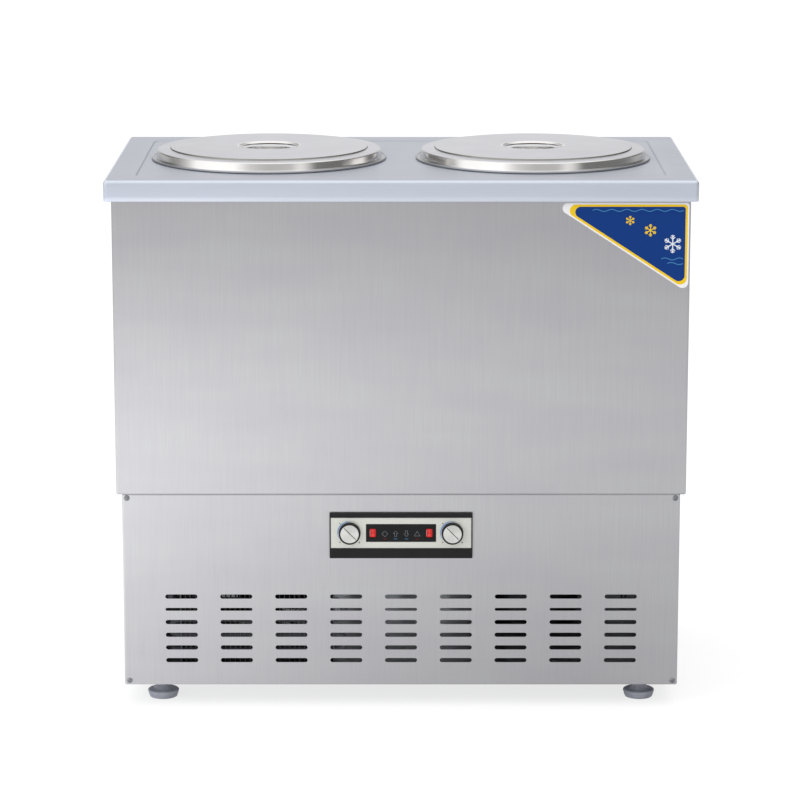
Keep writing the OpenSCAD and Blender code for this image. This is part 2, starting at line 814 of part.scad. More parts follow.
// Cover of the terminals on the front of the compressor, open towards the shell
module compressor_terminal_cover() {
  y0 = compressor_y - compressor_r - cover_d / 2;
  z0 = shell_z + compressor_h / 2 - cover_h / 2;
  color("#1d1d1f") difference() {
    block(about(compressor_x, cover_w / 2), [y0, compressor_y - compressor_r + cover_d / 2],
      [z0, z0 + cover_h]);
    block(about(compressor_x, cover_w / 2 - cover_wall), [y0 + cover_wall, compressor_y],
      [z0 + cover_wall, z0 + cover_h - cover_wall]);
    translate([compressor_x, compressor_y, z0 - through])
      cylinder(h = cover_h + 2 * through, r = compressor_r + seam);
  }
}

// Middles of the tube runs in one row of the condenser, front and back
function run_y(column) = condenser_y + (column - 0.5) * column_pitch;
function run_z(row) = low_row_z + row * row_pitch;

module fin(x, t) {
  translate([x, 0, 0]) rotate([90, 0, 90]) linear_extrude(t) difference() {
    translate([condenser_y - condenser_depth / 2, condenser_z]) square([condenser_depth, condenser_h]);
    for (column = [0, 1], row = [0:tube_rows - 1]) translate([run_y(column), run_z(row)])
      circle(tube_r + sliding);
  }
}

// Plate fins between two thicker end plates that stand on the base pan
module condenser_fins() {
  x0 = condenser_x - condenser_w / 2;
  color("lightsteelblue") {
    for (i = [1:fin_count]) fin(x0 + i * condenser_w / (fin_count + 1), fin_t);
    for (x = [x0, x0 + condenser_w - end_plate_t]) fin(x, end_plate_t);
  }
}

// One unbroken tube that runs down the front rows and up the back rows, with a return bend at each end
module condenser_tube() {
  reach = condenser_w / 2 + tube_overrun;
  runs = concat([for (row = [tube_rows - 1:-1:0]) [run_y(0), run_z(row)]],
    [for (row = [0:tube_rows - 1]) [run_y(1), run_z(row)]]);
  path = [for (i = [0:len(runs) - 1]) each
    let (
      side = i % 2 == 0 ? -1 : 1,
      here = runs[i],
      next = runs[min(i + 1, len(runs) - 1)],
      span = norm(next - here) / 2,
      middle = (here + next) / 2,
      start = [condenser_x - side * reach, here.x, here.y]
    )
    i == len(runs) - 1 ? [start, start + [side * 2 * reach, 0, 0]]
      : concat([start], [for (a = [-90:45:45]) let (p = middle + (next - here) / 2 * sin(a))
          [condenser_x + side * (reach + span * cos(a)), p.x, p.y]])];
  color("peru") rod_along(path, tube_r);
}

// Shroud on the back of the condenser, with a ring round the fan
module fan_shroud() {
  x = about(condenser_x, condenser_w / 2);
  z = [condenser_z, condenser_z + condenser_h];
  y0 = condenser_y + condenser_depth / 2 + seam;
  y1 = shroud_y + shroud_t;
  color("dimgrey") difference() {
    union() {
      block(x, [y0, y1], z);
      rod_y(condenser_x, fan_z, shroud_y, y1 + shroud_ring_h, ring_r + shroud_t);
    }
    block(x + [1, -1] * shroud_t, [y0 - through, shroud_y], z + [1, -1] * shroud_t);
    rod_y(condenser_x, fan_z, y0 - through, y1 + shroud_ring_h + through, ring_r);
  }
}

// Motor behind the fan, held to the shroud by four bent arms
module fan_motor() {
  foot_y = shroud_y + shroud_t + seam;
  arm_y = motor_y + motor_h / 3;
  color("#26282b") {
    rod_y(condenser_x, fan_z, motor_y, motor_y + motor_h, motor_r);
    rod_y(condenser_x, fan_z, fan_y - fan_depth / 4, motor_y + through, motor_shaft_r);
    translate([condenser_x, 0, fan_z]) for (a = [45:90:315]) rotate([0, a, 0]) {
      block([motor_r - 2, arm_r], [arm_y, arm_y + arm_t], about(0, arm_w / 2));
      block([arm_r - arm_t, arm_r], [foot_y, arm_y + arm_t], about(0, arm_w / 2));
    }
  }
}

// Fan, whose blades flatten and widen towards their tips
function blade_ring(r, chord, pitch) = let (
    across = [-sin(pitch), cos(pitch)],
    up = [cos(pitch), sin(pitch)]
  ) [for (c = [[-1, -1], [-1, 1], [1, 1], [1, -1]])
    let (p = c.x * chord / 2 * up + c.y * blade_t / 2 * across) [r, p.y, p.x]];

module fan_blade() {
  steps = 5;
  tip_r = fan_r - 1;
  color("#c8ccd2") difference() {
    translate([condenser_x, fan_y, fan_z]) {
      rod_y(0, 0, -fan_depth / 2, fan_depth / 2, fan_hub_r);
      for (i = [0:fan_blades - 1]) rotate([0, 360 * i / fan_blades, 0])
        skin([for (k = [0:steps]) let (s = k / steps)
          blade_ring(fan_hub_r - 2 + (tip_r - fan_hub_r + 2) * s, blade_root_w + blade_swell * sin(150 * s),
            blade_pitch - blade_twist * s)]);
    }
    rod_y(condenser_x, fan_z, fan_y - fan_depth / 4 - sliding, fan_y + fan_depth, motor_shaft_r + sliding);
  }
}

// Filter drier: a spun copper can with a neck at each end
module filter_drier() {
  color("peru") translate([drier_x, drier_y - drier_l / 2, drier_z]) rotate([-90, 0, 0]) rotate_extrude()
    polygon([[0, 0], [pipe_r + 1, 0], [pipe_r + 1, drier_neck_l], [drier_r, drier_cone_l],
      [drier_r, drier_l - drier_cone_l], [pipe_r + 1, drier_l - drier_neck_l], [pipe_r + 1, drier_l],
      [0, drier_l]]);
}

// From the compressor to the top front run of the condenser
module discharge_line() {
  stub_x = compressor_x - compressor_r - stub_l - seam;
  turn_x = stub_x - discharge_run;
  color("peru") rod_along(eased([
    [stub_x, compressor_y, discharge_z], [turn_x, compressor_y, discharge_z],
    [turn_x, run_y(0) + discharge_drop_y, discharge_z], [turn_x, run_y(0), top_row_z],
    [tube_end_x + seam, run_y(0), top_row_z]], pipe_bend), pipe_r);
}

function tail_point(side, r, a) = let (p = around(r, a, 0)) [side * (pot_spacing / 2 + p.x), pot_y + p.y];

// From the condenser through the drier to both valves, and on to the inner tail of each evaporator
module liquid_line() {
  drier_y0 = drier_y - drier_l / 2 - seam;
  drier_y1 = drier_y + drier_l / 2 + seam;
  color("peru") {
    rod_along(eased([[tube_end_x + seam, run_y(1), top_row_z], [liquid_turn_x, run_y(1), top_row_z],
      [drier_x, drier_y0 - drier_lead, drier_z], [drier_x, drier_y0, drier_z]], pipe_bend), pipe_r);
    rod_along(eased([[drier_x, drier_y1, drier_z], [drier_x, drier_y1 + drier_lead, drier_z],
      [drier_x, valve_y, branch_z]], pipe_bend), pipe_r);
    rod_along(eased([[-valve_x, valve_y, valve_z - seam], [-valve_x, valve_y, branch_z],
      [valve_x, valve_y, branch_z], [valve_x, valve_y, valve_z - seam]], pipe_bend), pipe_r);
    for (side = [-1, 1]) {
      tail = tail_point(side, evap_r, inlet_angle);
      out_z = valve_z + valve_h / 2;
      rod_along(eased([[side * (valve_x + valve_r + seam), valve_y, out_z], [tail.x, tail.y, out_z],
        [tail.x, tail.y, tail_end_z - seam]], pipe_bend), pipe_r);
    }
  }
}

// From the outer tail of each evaporator back to the compressor
module suction_line() {
  right = tail_point(1, outlet_r, outlet_angle);
  left = tail_point(-1, outlet_r, outlet_angle);
  stub_x = compressor_x + compressor_r + stub_l + seam;
  color("peru") {
    rod_along(eased([[right.x, right.y, tail_end_z - seam], [right.x, right.y, suction_z + suction_drop],
      [right.x, compressor_y, suction_z], [stub_x, compressor_y, suction_z]], suction_bend), evap_tube_r);
    rod_along(eased([[left.x, left.y, tail_end_z - seam], [left.x, left.y, suction_run_z],
      [right.x, right.y, suction_run_z]], suction_bend), evap_tube_r);
  }
}

// One valve for each well, hung under the divider
module solenoid_valves() {
  color("goldenrod") for (side = [-1, 1]) translate([side * valve_x, valve_y, 0]) {
    translate([0, 0, valve_z]) cylinder(h = valve_h + 1, r = valve_r);
    block(about(0, coil_w / 2), about(0, coil_w / 2), [coil_z, coil_z + coil_h]);
    translate([0, 0, coil_z]) cylinder(h = coil_h + valve_hanger_h, r = valve_r - 2);
    block(about(0, coil_w / 2), about(0, valve_r), [valve_top_z - 2, valve_top_z]);
  }
}

// Black surround: a rounded frame with a ledge that the fascia lies on
module control_bezel() {
  color("#2d2c2f") difference() {
    front_plate(0, control_z, bezel_front_y, bezel_y)
      polygon(rounded_rect(bezel_w / 2, bezel_h / 2, bezel_corner));
    block(about(0, fascia_w / 2 + seam), [bezel_front_y - through, fascia_y + seam],
      about(fascia_z, fascia_h / 2 + seam));
    block(about(0, housing_w / 2 + seam), [bezel_front_y, bezel_y + through],
      about(fascia_z, housing_h / 2 + seam));
  }
}

module knob_bushing_holes(y0, y1) {
  for (side = [-1, 1]) rod_y(side * knob_x, fascia_z, y0, y1, bushing_r + seam);
}

// Openings for the switch bodies
module switch_openings(y0, y1) {
  for (side = [-1, 1]) front_plate(side * switch_x, fascia_z, y0, y1)
    square([switch_body_w, switch_body_h] + [2, 2] * seam, center = true);
}

module control_fascia() {
  color("#ccceca") difference() {
    block(about(0, fascia_w / 2), [fascia_front_y, fascia_y], about(fascia_z, fascia_h / 2));
    front_plate(0, fascia_z, fascia_front_y - through, fascia_y + through)
      polygon(rounded_rect(window_w / 2 + seam, window_h / 2 + seam, window_corner + seam));
    knob_bushing_holes(fascia_front_y - through, fascia_y + through);
  }
}

module at_lenses() {
  for (i = [0:3]) translate([(i - 1.5) * lens_pitch, 0, fascia_z - lens_drop]) children();
}

module control_window() {
  color("#141416") difference() {
    front_plate(0, fascia_z, window_front_y, fascia_y)
      polygon(rounded_rect(window_w / 2, window_h / 2, window_corner));
    switch_openings(window_front_y - through, fascia_y + through);
    at_lenses() block(about(0, lens_w / 2 + seam), [window_front_y - through, fascia_y + through],
      about(0, lens_h / 2 + seam));
  }
}

module indicator_lenses() {
  color("#5c6a86") at_lenses()
    block(about(0, lens_w / 2), [window_front_y - lens_proud, fascia_y], about(0, lens_h / 2));
}

// Box behind the fascia that closes off the wiring, open at its back
module control_housing() {
  color("#3a3a3d") difference() {
    block(about(0, housing_w / 2), [housing_y, housing_y + housing_d], about(fascia_z, housing_h / 2));
    block(about(0, housing_w / 2 - housing_t), [housing_y + housing_front_t, housing_y + housing_d + through],
      about(fascia_z, housing_h / 2 - housing_t));
    knob_bushing_holes(housing_y - through, housing_y + housing_front_t + through);
    switch_openings(housing_y - through, housing_y + housing_front_t + through);
  }
}

module thermostat(side) {
  color("#d8d8d4") translate([side * knob_x, 0, fascia_z]) difference() {
    union() {
      block(about(0, thermostat_w / 2), [thermostat_y, thermostat_y + thermostat_d],
        about(0, thermostat_w / 2));
      rod_y(0, 0, bushing_front_y, thermostat_y + 1, bushing_r);
    }
    rod_y(0, 0, bushing_front_y - through, thermostat_y + thermostat_d / 2 + sliding, shaft_r + sliding);
  }
}

module thermostat_shaft(side) {
  color("silver")
    rod_y(side * knob_x, fascia_z, knob_face_y + knob_cap_t, thermostat_y + thermostat_d / 2, shaft_r);
}

// Knob: a tapered black grip with a skirt, hollowed round the bushing, with a shallow seat for its cap
module knob(side) {
  grip_h = knob_h - knob_cap_t / 2;
  color("#1b1b1d") translate([side * knob_x, knob_y, fascia_z]) rotate([90, 0, 0]) rotate_extrude() polygon([
    [knob_socket_r, 0], [knob_d / 2, 0], [knob_d / 2, knob_flange_h],
    [knob_d / 2 - knob_taper / 2, knob_flange_h + 0.5], [knob_d / 2 - knob_taper, grip_h - 1],
    [knob_d / 2 - knob_taper - 0.7, grip_h], [knob_cap_r + seam, grip_h],
    [knob_cap_r + seam, knob_h - knob_cap_t], [shaft_r + sliding, knob_h - knob_cap_t],
    [shaft_r + sliding, knob_socket_h], [knob_socket_r, knob_socket_h]]);
}

// Metal cap with a pointer ridge right across it
module knob_cap(side) {
  color("silver") translate([side * knob_x, knob_face_y, fascia_z]) {
    rod_y(0, 0, 0, knob_cap_t, knob_cap_r);
    rotate([0, pointer_angle, 0])
      block(about(0, knob_cap_r - 0.6), [-knob_rib_h, 0.5], about(0, knob_rib_w / 2));
  }
}

// Switch body: a sleeve with a lip on the window, a floor behind the rocker and a bearing in each side wall
module switch_body(side) {
  color("#141416") translate([side * switch_x, 0, fascia_z]) difference() {
    union() {
      block(about(0, switch_body_w / 2), [window_front_y, window_front_y + switch_d],
        about(0, switch_body_h / 2));
      block(about(0, switch_body_w / 2 + switch_lip), [window_front_y - switch_lip_t, window_front_y],
        about(0, switch_body_h / 2 + switch_lip));
    }
    block(about(0, rocker_w / 2 + switch_play), [window_front_y - 2, rocker_pivot_y + switch_cavity],
      about(0, rocker_h / 2 + switch_play));
    translate([-switch_body_w, rocker_pivot_y, 0]) rotate([0, 90, 0])
      cylinder(h = 2 * switch_body_w, r = rocker_pin_r + sliding);
  }
}

// Red rocker, tilted to ON, with a pin at each side
module switch_rocker(side) {
  front = rocker_pivot_y - window_front_y + rocker_nose;
  color("red") translate([side * switch_x, rocker_pivot_y, fascia_z]) rotate([-rocker_throw / 2, 0, 0])
    rotate([0, 90, 0]) {
      translate([0, 0, -rocker_w / 2]) linear_extrude(rocker_w) rotate(180) polygon([
        [-rocker_h / 2, front], [0, front - rocker_dip], [rocker_h / 2, front],
        [rocker_h / 2, -rocker_back + 1], [rocker_h / 2 - 2, -rocker_back], [2 - rocker_h / 2, -rocker_back],
        [-rocker_h / 2, -rocker_back + 1]]);
      translate([0, 0, -switch_body_w / 2]) cylinder(h = switch_body_w, r = rocker_pin_r);
    }
}

// Screw foot: pad, hub and threaded stem
module foot(x, y) {
  color("#7c8089") translate([x, y, 0]) {
    rotate_extrude() polygon([
      [0, 0], [pad_r - pad_draft - 1, 0], [pad_r - pad_draft, 1], [pad_r, pad_h - 3],
      [pad_r - 1.5, pad_h - 1], [foot_hub_r, pad_h], [foot_neck_r, pad_h + 8], [foot_neck_r, foot_top_z],
      [0, foot_top_z]]);
    translate([0, 0, foot_top_z - 1]) cylinder(h = stem_top_z - foot_top_z + 1, r = stem_r);
  }
}

module foot_nuts() {
  color("lightgrey") for (x = [-foot_x, foot_x], y = [-foot_y, foot_y]) translate([x, y, foot_nut_z])
    difference() {
      cylinder(h = foot_nut_h, r = foot_nut_r, $fn = 6);
      translate([0, 0, -through]) cylinder(h = foot_nut_h + 2 * through, r = stem_r + sliding);
    }
}

// Pot: deep-drawn wall and floor, a flat rim and a rolled bead that rests on the worktop
module pot(side) {
  rim_under_z = rim_z - pot_t;
  outline = concat([[0, pot_floor_z - pot_t]],
    arc([pot_r - pot_corner, pot_floor_z - pot_t + pot_corner], pot_corner, -90, 0, arc_steps),
    arc([pot_r + pot_rim_bend, rim_under_z - pot_rim_bend], pot_rim_bend, 180, 90, arc_steps),
    [[bead_ring_r, rim_under_z]]);
  color("gainsboro") at_pot(side) rotate_extrude() {
    polygon(sheet_section(outline, pot_t));
    translate([bead_ring_r, bead_z]) circle(bead_d / 2);
  }
}

// Lid: pressed in one piece, from its skirt over a step to the raised middle and down into the hand recess
module lid(side) {
  outline = concat([[lid_r, lid_z]],
    arc([lid_r - lid_bend, lid_rim_z - lid_bend], lid_bend, 0, 90, arc_steps),
    [[lid_disc_r + lid_step_run, lid_rim_z + 1], [lid_disc_r, lid_rim_z + 1 + lid_step],
     [(lid_disc_r + recess_r) / 2, lid_top_z - 0.4]],
    arc([recess_r + recess_bend, lid_top_z - recess_bend], recess_bend, 90, 150, 2),
    [[ledge_r, lid_top_z - ledge_drop], [dish_r + 1, lid_top_z - ledge_drop],
     [dish_r, lid_top_z - ledge_drop - 1]],
    arc([dish_r - 1 - dish_corner, lid_top_z - recess_depth + dish_corner], dish_corner, 0, -90, arc_steps),
    [[0, lid_top_z - recess_depth]]);
  color("gainsboro") at_pot(side) rotate_extrude() polygon(sheet_section(outline, lid_t));
}

// Strap handle: its round ends lie on the ledge of the recess, and it arches across between them
module lid_strap(side) {
  z0 = lid_top_z - ledge_drop;
  outline = [[-strap_end_r, z0], [-dish_r, z0], [strap_w / 2 - dish_r, z0 + strap_rise],
    [dish_r - strap_w / 2, z0 + strap_rise], [dish_r, z0], [strap_end_r, z0]];
  color("gainsboro") at_pot(side) intersection() {
    translate([0, strap_w, 0]) rotate([90, 0, 0])
      linear_extrude(2 * strap_w) polygon(sheet_section(outline, strap_t));
    translate([0, 0, z0 - through]) linear_extrude(strap_rise + strap_t + 2 * through)
      polygon(stadium(2 * strap_end_r, strap_w));
  }
}

worktop();
upper_front_panel();
upper_back_panel();
upper_side_panel(-1);  // upper_side_panel_left
upper_side_panel(1);  // upper_side_panel_right
divider_plate();
insulation_foam();
well(-1);  // well_left
well(1);  // well_right
evaporator(-1);  // evaporator_left
evaporator(1);  // evaporator_right
lower_front_panel();
lower_back_panel();
lower_side_panel(-1);  // lower_side_panel_left
lower_side_panel(1);  // lower_side_panel_right
base_pan();
corner_posts();
panel_screws();
cable_gland();
compressor();
compressor_mounts();
compressor_terminal_cover();
condenser_fins();
condenser_tube();
fan_shroud();
fan_motor();
fan_blade();
filter_drier();
discharge_line();
liquid_line();
suction_line();
solenoid_valves();
control_bezel();
control_fascia();
control_window();
control_housing();
indicator_lenses();
thermostat(-1);  // thermostat_left
thermostat(1);  // thermostat_right
thermostat_shaft(-1);  // thermostat_shaft_left
thermostat_shaft(1);  // thermostat_shaft_right
knob(-1);  // knob_left
knob(1);  // knob_right
knob_cap(-1);  // knob_cap_left
knob_cap(1);  // knob_cap_right
switch_body(-1);  // switch_body_left
switch_body(1);  // switch_body_right
switch_rocker(-1);  // switch_rocker_left
switch_rocker(1);  // switch_rocker_right
foot(-foot_x, -foot_y);  // foot_front_left
foot(foot_x, -foot_y);  // foot_front_right
foot(-foot_x, foot_y);  // foot_back_left
foot(foot_x, foot_y);  // foot_back_right
foot_nuts();
pot(-1);  // pot_left
pot(1);  // pot_right
lid(-1);  // lid_left
lid(1);  // lid_right
lid_strap(-1);  // lid_strap_left
lid_strap(1);  // lid_strap_right
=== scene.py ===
# %% [markdown]
# # Broth refrigerator
# A counter-height steel cabinet keeps two pots of cold broth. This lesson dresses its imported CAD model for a
# picture. The CAD model comes first and stays where it is. Every new surface is worked out as an array of
# points in the same frame, so nothing has to be fitted by eye.

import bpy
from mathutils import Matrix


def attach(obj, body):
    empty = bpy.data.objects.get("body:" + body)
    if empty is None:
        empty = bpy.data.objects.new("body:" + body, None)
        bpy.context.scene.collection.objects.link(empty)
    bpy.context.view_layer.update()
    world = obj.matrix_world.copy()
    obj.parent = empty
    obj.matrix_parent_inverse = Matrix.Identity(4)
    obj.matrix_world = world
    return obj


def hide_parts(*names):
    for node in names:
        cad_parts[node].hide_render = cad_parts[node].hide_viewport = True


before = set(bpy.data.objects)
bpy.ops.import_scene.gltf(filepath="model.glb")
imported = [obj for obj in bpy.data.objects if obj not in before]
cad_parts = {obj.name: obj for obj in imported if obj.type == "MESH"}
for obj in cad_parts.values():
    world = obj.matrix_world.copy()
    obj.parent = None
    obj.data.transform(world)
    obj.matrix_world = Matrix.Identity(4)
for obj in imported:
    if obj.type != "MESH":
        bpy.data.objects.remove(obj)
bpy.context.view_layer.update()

# %% [markdown]
# ## The camera
# The photograph was taken from a little above the worktop, with upright edges that stay parallel. A long lens
# from far away keeps them nearly parallel without any lens shift, so the camera can be turned to look from
# other sides later. Distance, height and tilt were worked out from the corners of the worktop and the body.

# %% Camera
import math

import bpy

IMAGE_WIDTH, FOCAL_PIXELS = 800, 3343.6
CAMERA_PLACE, CAMERA_TILT = (-0.0016, -5.26, 1.5443), 11.88


def placed(name, data):
    """A new object of the scene with that data."""
    made = bpy.data.objects.new(name, data)
    bpy.context.scene.collection.objects.link(made)
    return made


camera_data = bpy.data.cameras.new("camera")
camera_data.sensor_width = 36.0
camera_data.lens = camera_data.sensor_width * FOCAL_PIXELS / IMAGE_WIDTH
camera = placed("camera", camera_data)
camera.location = CAMERA_PLACE
camera.rotation_euler = (math.radians(90 - CAMERA_TILT), 0, 0)
bpy.context.scene.camera = camera
print("lens, mm:", round(camera_data.lens, 1))

# %% [markdown]
# ## Nodes and colours
# Every finish is a small tree of shader nodes. One helper adds a node, sets its properties and fills its
# inputs, so a finish reads from top to bottom. Colours are written as they look on a screen and are turned
# linear once.

# %% Helpers for the finishes
import numpy as np

MM = 0.001


def linear(colour):
    """A screen colour such as #C0C0C0 as linear red, green, blue and alpha: each value s becomes s / 12.92
    when dark, and otherwise ((s + 0.055) / 1.055) to the power 2.4."""
    s = np.array([int(colour[i:i + 2], 16) for i in (1, 3, 5)]) / 255
    return (*np.where(s <= 0.04045, s / 12.92, ((s + 0.055) / 1.055) ** 2.4).tolist(), 1.0)


def node(tree, kind, inputs=None, **settings):
    """Adds a node, sets its own properties, and fills its inputs. Each is fed by an output or by the first
    output of a node, or gets a plain value."""
    made = tree.nodes.new("ShaderNode" + kind)
    for name, value in settings.items():
        setattr(made, name, value)
    for name, value in (inputs or {}).items():
        if isinstance(value, bpy.types.Node):
            value = value.outputs[0]
        if isinstance(value, bpy.types.NodeSocket):
            tree.links.new(value, made.inputs[name])
        else:
            made.inputs[name].default_value = value
    return made


def new_finish(name):
    """An empty node material, and the object's own coordinates in metres, which its nodes can read."""
    material = bpy.data.materials.new(name)
    material.use_nodes = True
    material.node_tree.nodes.clear()
    print("finish", name)
    return material, node(material.node_tree, "TexCoord").outputs["Object"]


def shown_by(material, shader):
    """Sends a shader to the material's output."""
    node(material.node_tree, "OutputMaterial", {"Surface": shader})


def principled(material, inputs):
    """Gives a material one Principled shader with these inputs, and hands the material back."""
    shown_by(material, node(material.node_tree, "BsdfPrincipled", inputs))
    return material


def calc(operation, *values):
    """One step of arithmetic, in the tree that the first value comes from."""
    return node(values[0].id_data, "Math", dict(enumerate(values)), operation=operation)


def ranged(value, start, end, low=0.0, high=1.0, **settings):
    """Runs from low to high as a value runs from start to end, and stays level beyond them."""
    return node(value.id_data, "MapRange", {"Value": value, "From Min": start, "From Max": end, "To Min": low,
                                            "To Max": high}, **settings)


def between(noise, low=0.0, high=1.0):
    """Runs from low to high as a noise runs from 0.3 to 0.7, where most of it lies."""
    return ranged(noise, 0.3, 0.7, low, high)


def grain(place, size, detail=2.0):
    """A noise whose grains measure size millimetres, or (x, y, z), along the coordinates place."""
    tree = place.id_data
    scaled = node(tree, "Mapping", {"Vector": place, "Scale": [1 / MM / s for s in np.broadcast_to(size, 3)]})
    return node(tree, "TexNoise", {"Vector": scaled, "Scale": 1.0, "Detail": detail})


def tinted(fac, dark, light):
    """A colour between two screen colours."""
    colours = {0: fac, 6: linear(dark), 7: linear(light)}
    return node(fac.id_data, "Mix", colours, data_type="RGBA").outputs[2]


def bumped(height, depth):
    """A normal that tilts with a height field, of the given depth in millimetres."""
    return node(height.id_data, "Bump", {"Height": height, "Distance": depth * MM, "Strength": 1.0})


print("helpers ready")

# %% [markdown]
# ## Stainless steel sheet
# The panels are stainless steel with a short ground grain, the usual finish of kitchen appliances. Scratches
# spread a reflection across themselves: the upright grain of the panels spreads it sideways, and the grain
# along the worktop spreads it up and down. There are faint clouds too, where the belt pressed harder. The
# real scratches are about 0.1 mm wide. They are drawn 1 mm wide, because finer ones vanish in the picture.

# %% Stainless steel finishes


def ground_steel(name, dark, light, scratch, across, roughness, drawn_out=0.6, cloud=120.0, spread=0.04,
                 depth=0.004, bare=1.0):
    """Stainless steel sheet, ground with a belt. scratch is the size of a scratch along x, y and z. across is
    the direction over the scratches, in which reflections are drawn out. bare is 1 without a film over it.
    The belt leaves streaks too, twice as wide and four times as long, which change the tone alone."""
    material, place = new_finish(name)
    tree = material.node_tree
    scratches = grain(place, scratch)
    streaks = grain(place, [s * (4 if s == max(scratch) else 2) for s in scratch])
    clouds = grain(place, (2 * cloud, cloud, cloud / 2))
    tone = node(tree, "Mix", {0: 0.5, 2: clouds, 3: streaks})
    return principled(material, {
        "Base Color": tinted(between(tone), dark, light), "Metallic": bare,
        "Anisotropic": drawn_out, "Tangent": node(tree, "CombineXYZ", dict(zip("XYZ", across))),
        "Roughness": between(scratches, roughness - spread, roughness + spread),
        "Normal": bumped(scratches, depth)})


panel_finish = ground_steel("stainless_ground_panel", "#C9C7CD", "#D0D1D3", (0.8, 0.8, 20), (1, 1, 0), 0.3,
                            0.8, 90.0, 0.015, 0.001)
# The top and the apron are the same steel. The top is painted darker (painted shade) and the apron lighter and
# bluer (painted reflection).
worktop_painted_shade_finish = ground_steel("stainless_rolled_worktop_painted_shade", "#B0B4BD", "#B7BAC3", (60, 1.2, 1.2),
                              (0.02, 1, 0.5), 0.36, 0.7, bare=0.55)
apron_painted_reflection_finish = ground_steel("stainless_ground_apron_painted_reflection", "#D2D9E6", "#D9DFEB", (60, 1.2, 1.2), (1, 0.02, 0.02),
                            0.34, bare=0.55)
well_finish = ground_steel("stainless_rolled_well", "#B9BABD", "#C4C5C8", (2, 2, 30), (1, 1, 0), 0.38)
strap_finish = ground_steel("stainless_polished_strap", "#C4C4C8", "#CDCDD0", (20, 0.8, 0.8), (0, 1, 0.1),
                            0.1, 0.2)

# %% [markdown]
# ## Spun steel
# Lids and pots are drawn from sheet and turned against a polishing wheel, so their fine marks run in rings.
# Each round piece keeps the distance along its profile in its UV map, and a noise that reads only that
# distance gives unbroken rings with no seam. The skirt and the hand recess are polished brighter than the
# flat top. The narrow step and the ledge in the recess are given darker steel as painted shade.

# %% Spun steel finishes


def spun_steel(name, dark, light, ring_mm, roughness, spread=0.04, depth=0.004, drawn_out=0.5):
    """Stainless steel marked in rings by a wheel. ring_mm is the width of a ring. The rings draw reflections
    out across them, by drawn_out, so the shader gets the direction of the rings from the UV map."""
    material, place = new_finish(name)
    rings = grain(place.node.outputs["UV"], (1e6, ring_mm, 1e6))
    clouds = grain(place, 50)
    return principled(material, {
        "Base Color": tinted(between(clouds), dark, light), "Metallic": 1.0,
        "Anisotropic": drawn_out, "Anisotropic Rotation": 0.25,
        "Tangent": node(material.node_tree, "Tangent", direction_type="UV_MAP", uv_map="along"),
        "Roughness": between(rings, roughness - spread, roughness + spread),
        "Normal": bumped(rings, depth)})


lid_top_finish = spun_steel("stainless_satin_lid", "#C9C9CE", "#CFCFD4", 0.9, 0.34, drawn_out=0.3)
lid_bright_finish = spun_steel("stainless_polished_lid", "#E9E7E5", "#EFEEEC", 1.4, 0.16, 0.02, 0.001, 0.0)
# Darker steel for the narrow step and the ledge in the recess: painted shade.
lid_painted_shade_finish = spun_steel("stainless_step_painted_shade", "#96948F", "#A2A09B", 1.4, 0.3, 0.02, 0.001, 0.0)
pot_wall_finish = spun_steel("stainless_satin_pot", "#C6C6C9", "#CFCFD2", 1.2, 0.26, 0.025, 0.0015)
pot_bead_finish = spun_steel("stainless_satin_bead", "#A9ABB1", "#B2B4B9", 1.0, 0.32, 0.04, 0.002, 0.0)

# %% [markdown]
# ## Plated, painted and moulded finishes
# Inside, the frame and pan are galvanised: zinc freezes into flat crystals about 9 mm wide, which reflect a
# little differently from each other. Copper tube dulls in patches. The compressor is enamelled, with the
# slight orange peel of a thick paint. Plastics carry the fine spark-eroded grain of their mould. These pieces
# are seen through the slots and when the pots are lifted out.

# %% Galvanised steel and tube


def galvanised_steel(name, dark, light, crystal_mm=9.0):
    """Zinc coat whose flat crystals differ in tone and gloss from cell to cell."""
    material, place = new_finish(name)
    cells = node(material.node_tree, "TexVoronoi", {"Vector": place, "Scale": 1 / MM / crystal_mm})
    tone = node(material.node_tree, "SeparateColor", {0: cells.outputs["Color"]})
    return principled(material, {"Base Color": tinted(tone, dark, light), "Metallic": 1.0,
                                 "Roughness": ranged(tone, 0.0, 1.0, 0.34, 0.5)})


def drawn_tube(name, dark, light, roughness, patch_mm=30.0):
    """Drawn metal tube with dull patches where it was handled and brazed."""
    material, place = new_finish(name)
    patches = grain(place, patch_mm, 4.0)
    return principled(material, {
        "Base Color": tinted(between(patches, 1.0, 0.0), dark, light), "Metallic": 1.0,
        "Roughness": between(patches, roughness, roughness + 0.15)})


zinc_finish = galvanised_steel("galvanised_steel", "#8F9499", "#A5AAAE")
copper_finish = drawn_tube("drawn_copper", "#8A5B45", "#B87B5C", 0.28)
brass_finish = drawn_tube("turned_brass", "#9C8449", "#C2A65C", 0.24, 12.0)
# The fan blades are a dark grey so that the slots look dark: painted shade.
blade_finish = drawn_tube("aluminium_blade_painted_shade", "#55575B", "#64666A", 0.5)
screw_finish = drawn_tube("bright_zinc_screw", "#909196", "#A9AAAF", 0.2, 3.0)

# %% Paint, plastic, rubber and foam


def coated(name, dark, light, roughness, grain_mm, depth, patch_mm=25.0, ior=1.5, spread=0.06, specular=0.5):
    """Paint, plastic or rubber: a skin with grains of grain_mm and depth mm, over soft patches of two
    colours."""
    material, place = new_finish(name)
    skin = grain(place, grain_mm)
    patches = grain(place, patch_mm, 3.0)
    return principled(material, {
        "Base Color": tinted(between(patches), dark, light), "IOR": ior,
        "Specular IOR Level": specular,
        "Roughness": between(patches, roughness - spread / 2, roughness + spread / 2),
        "Normal": bumped(skin, depth)})


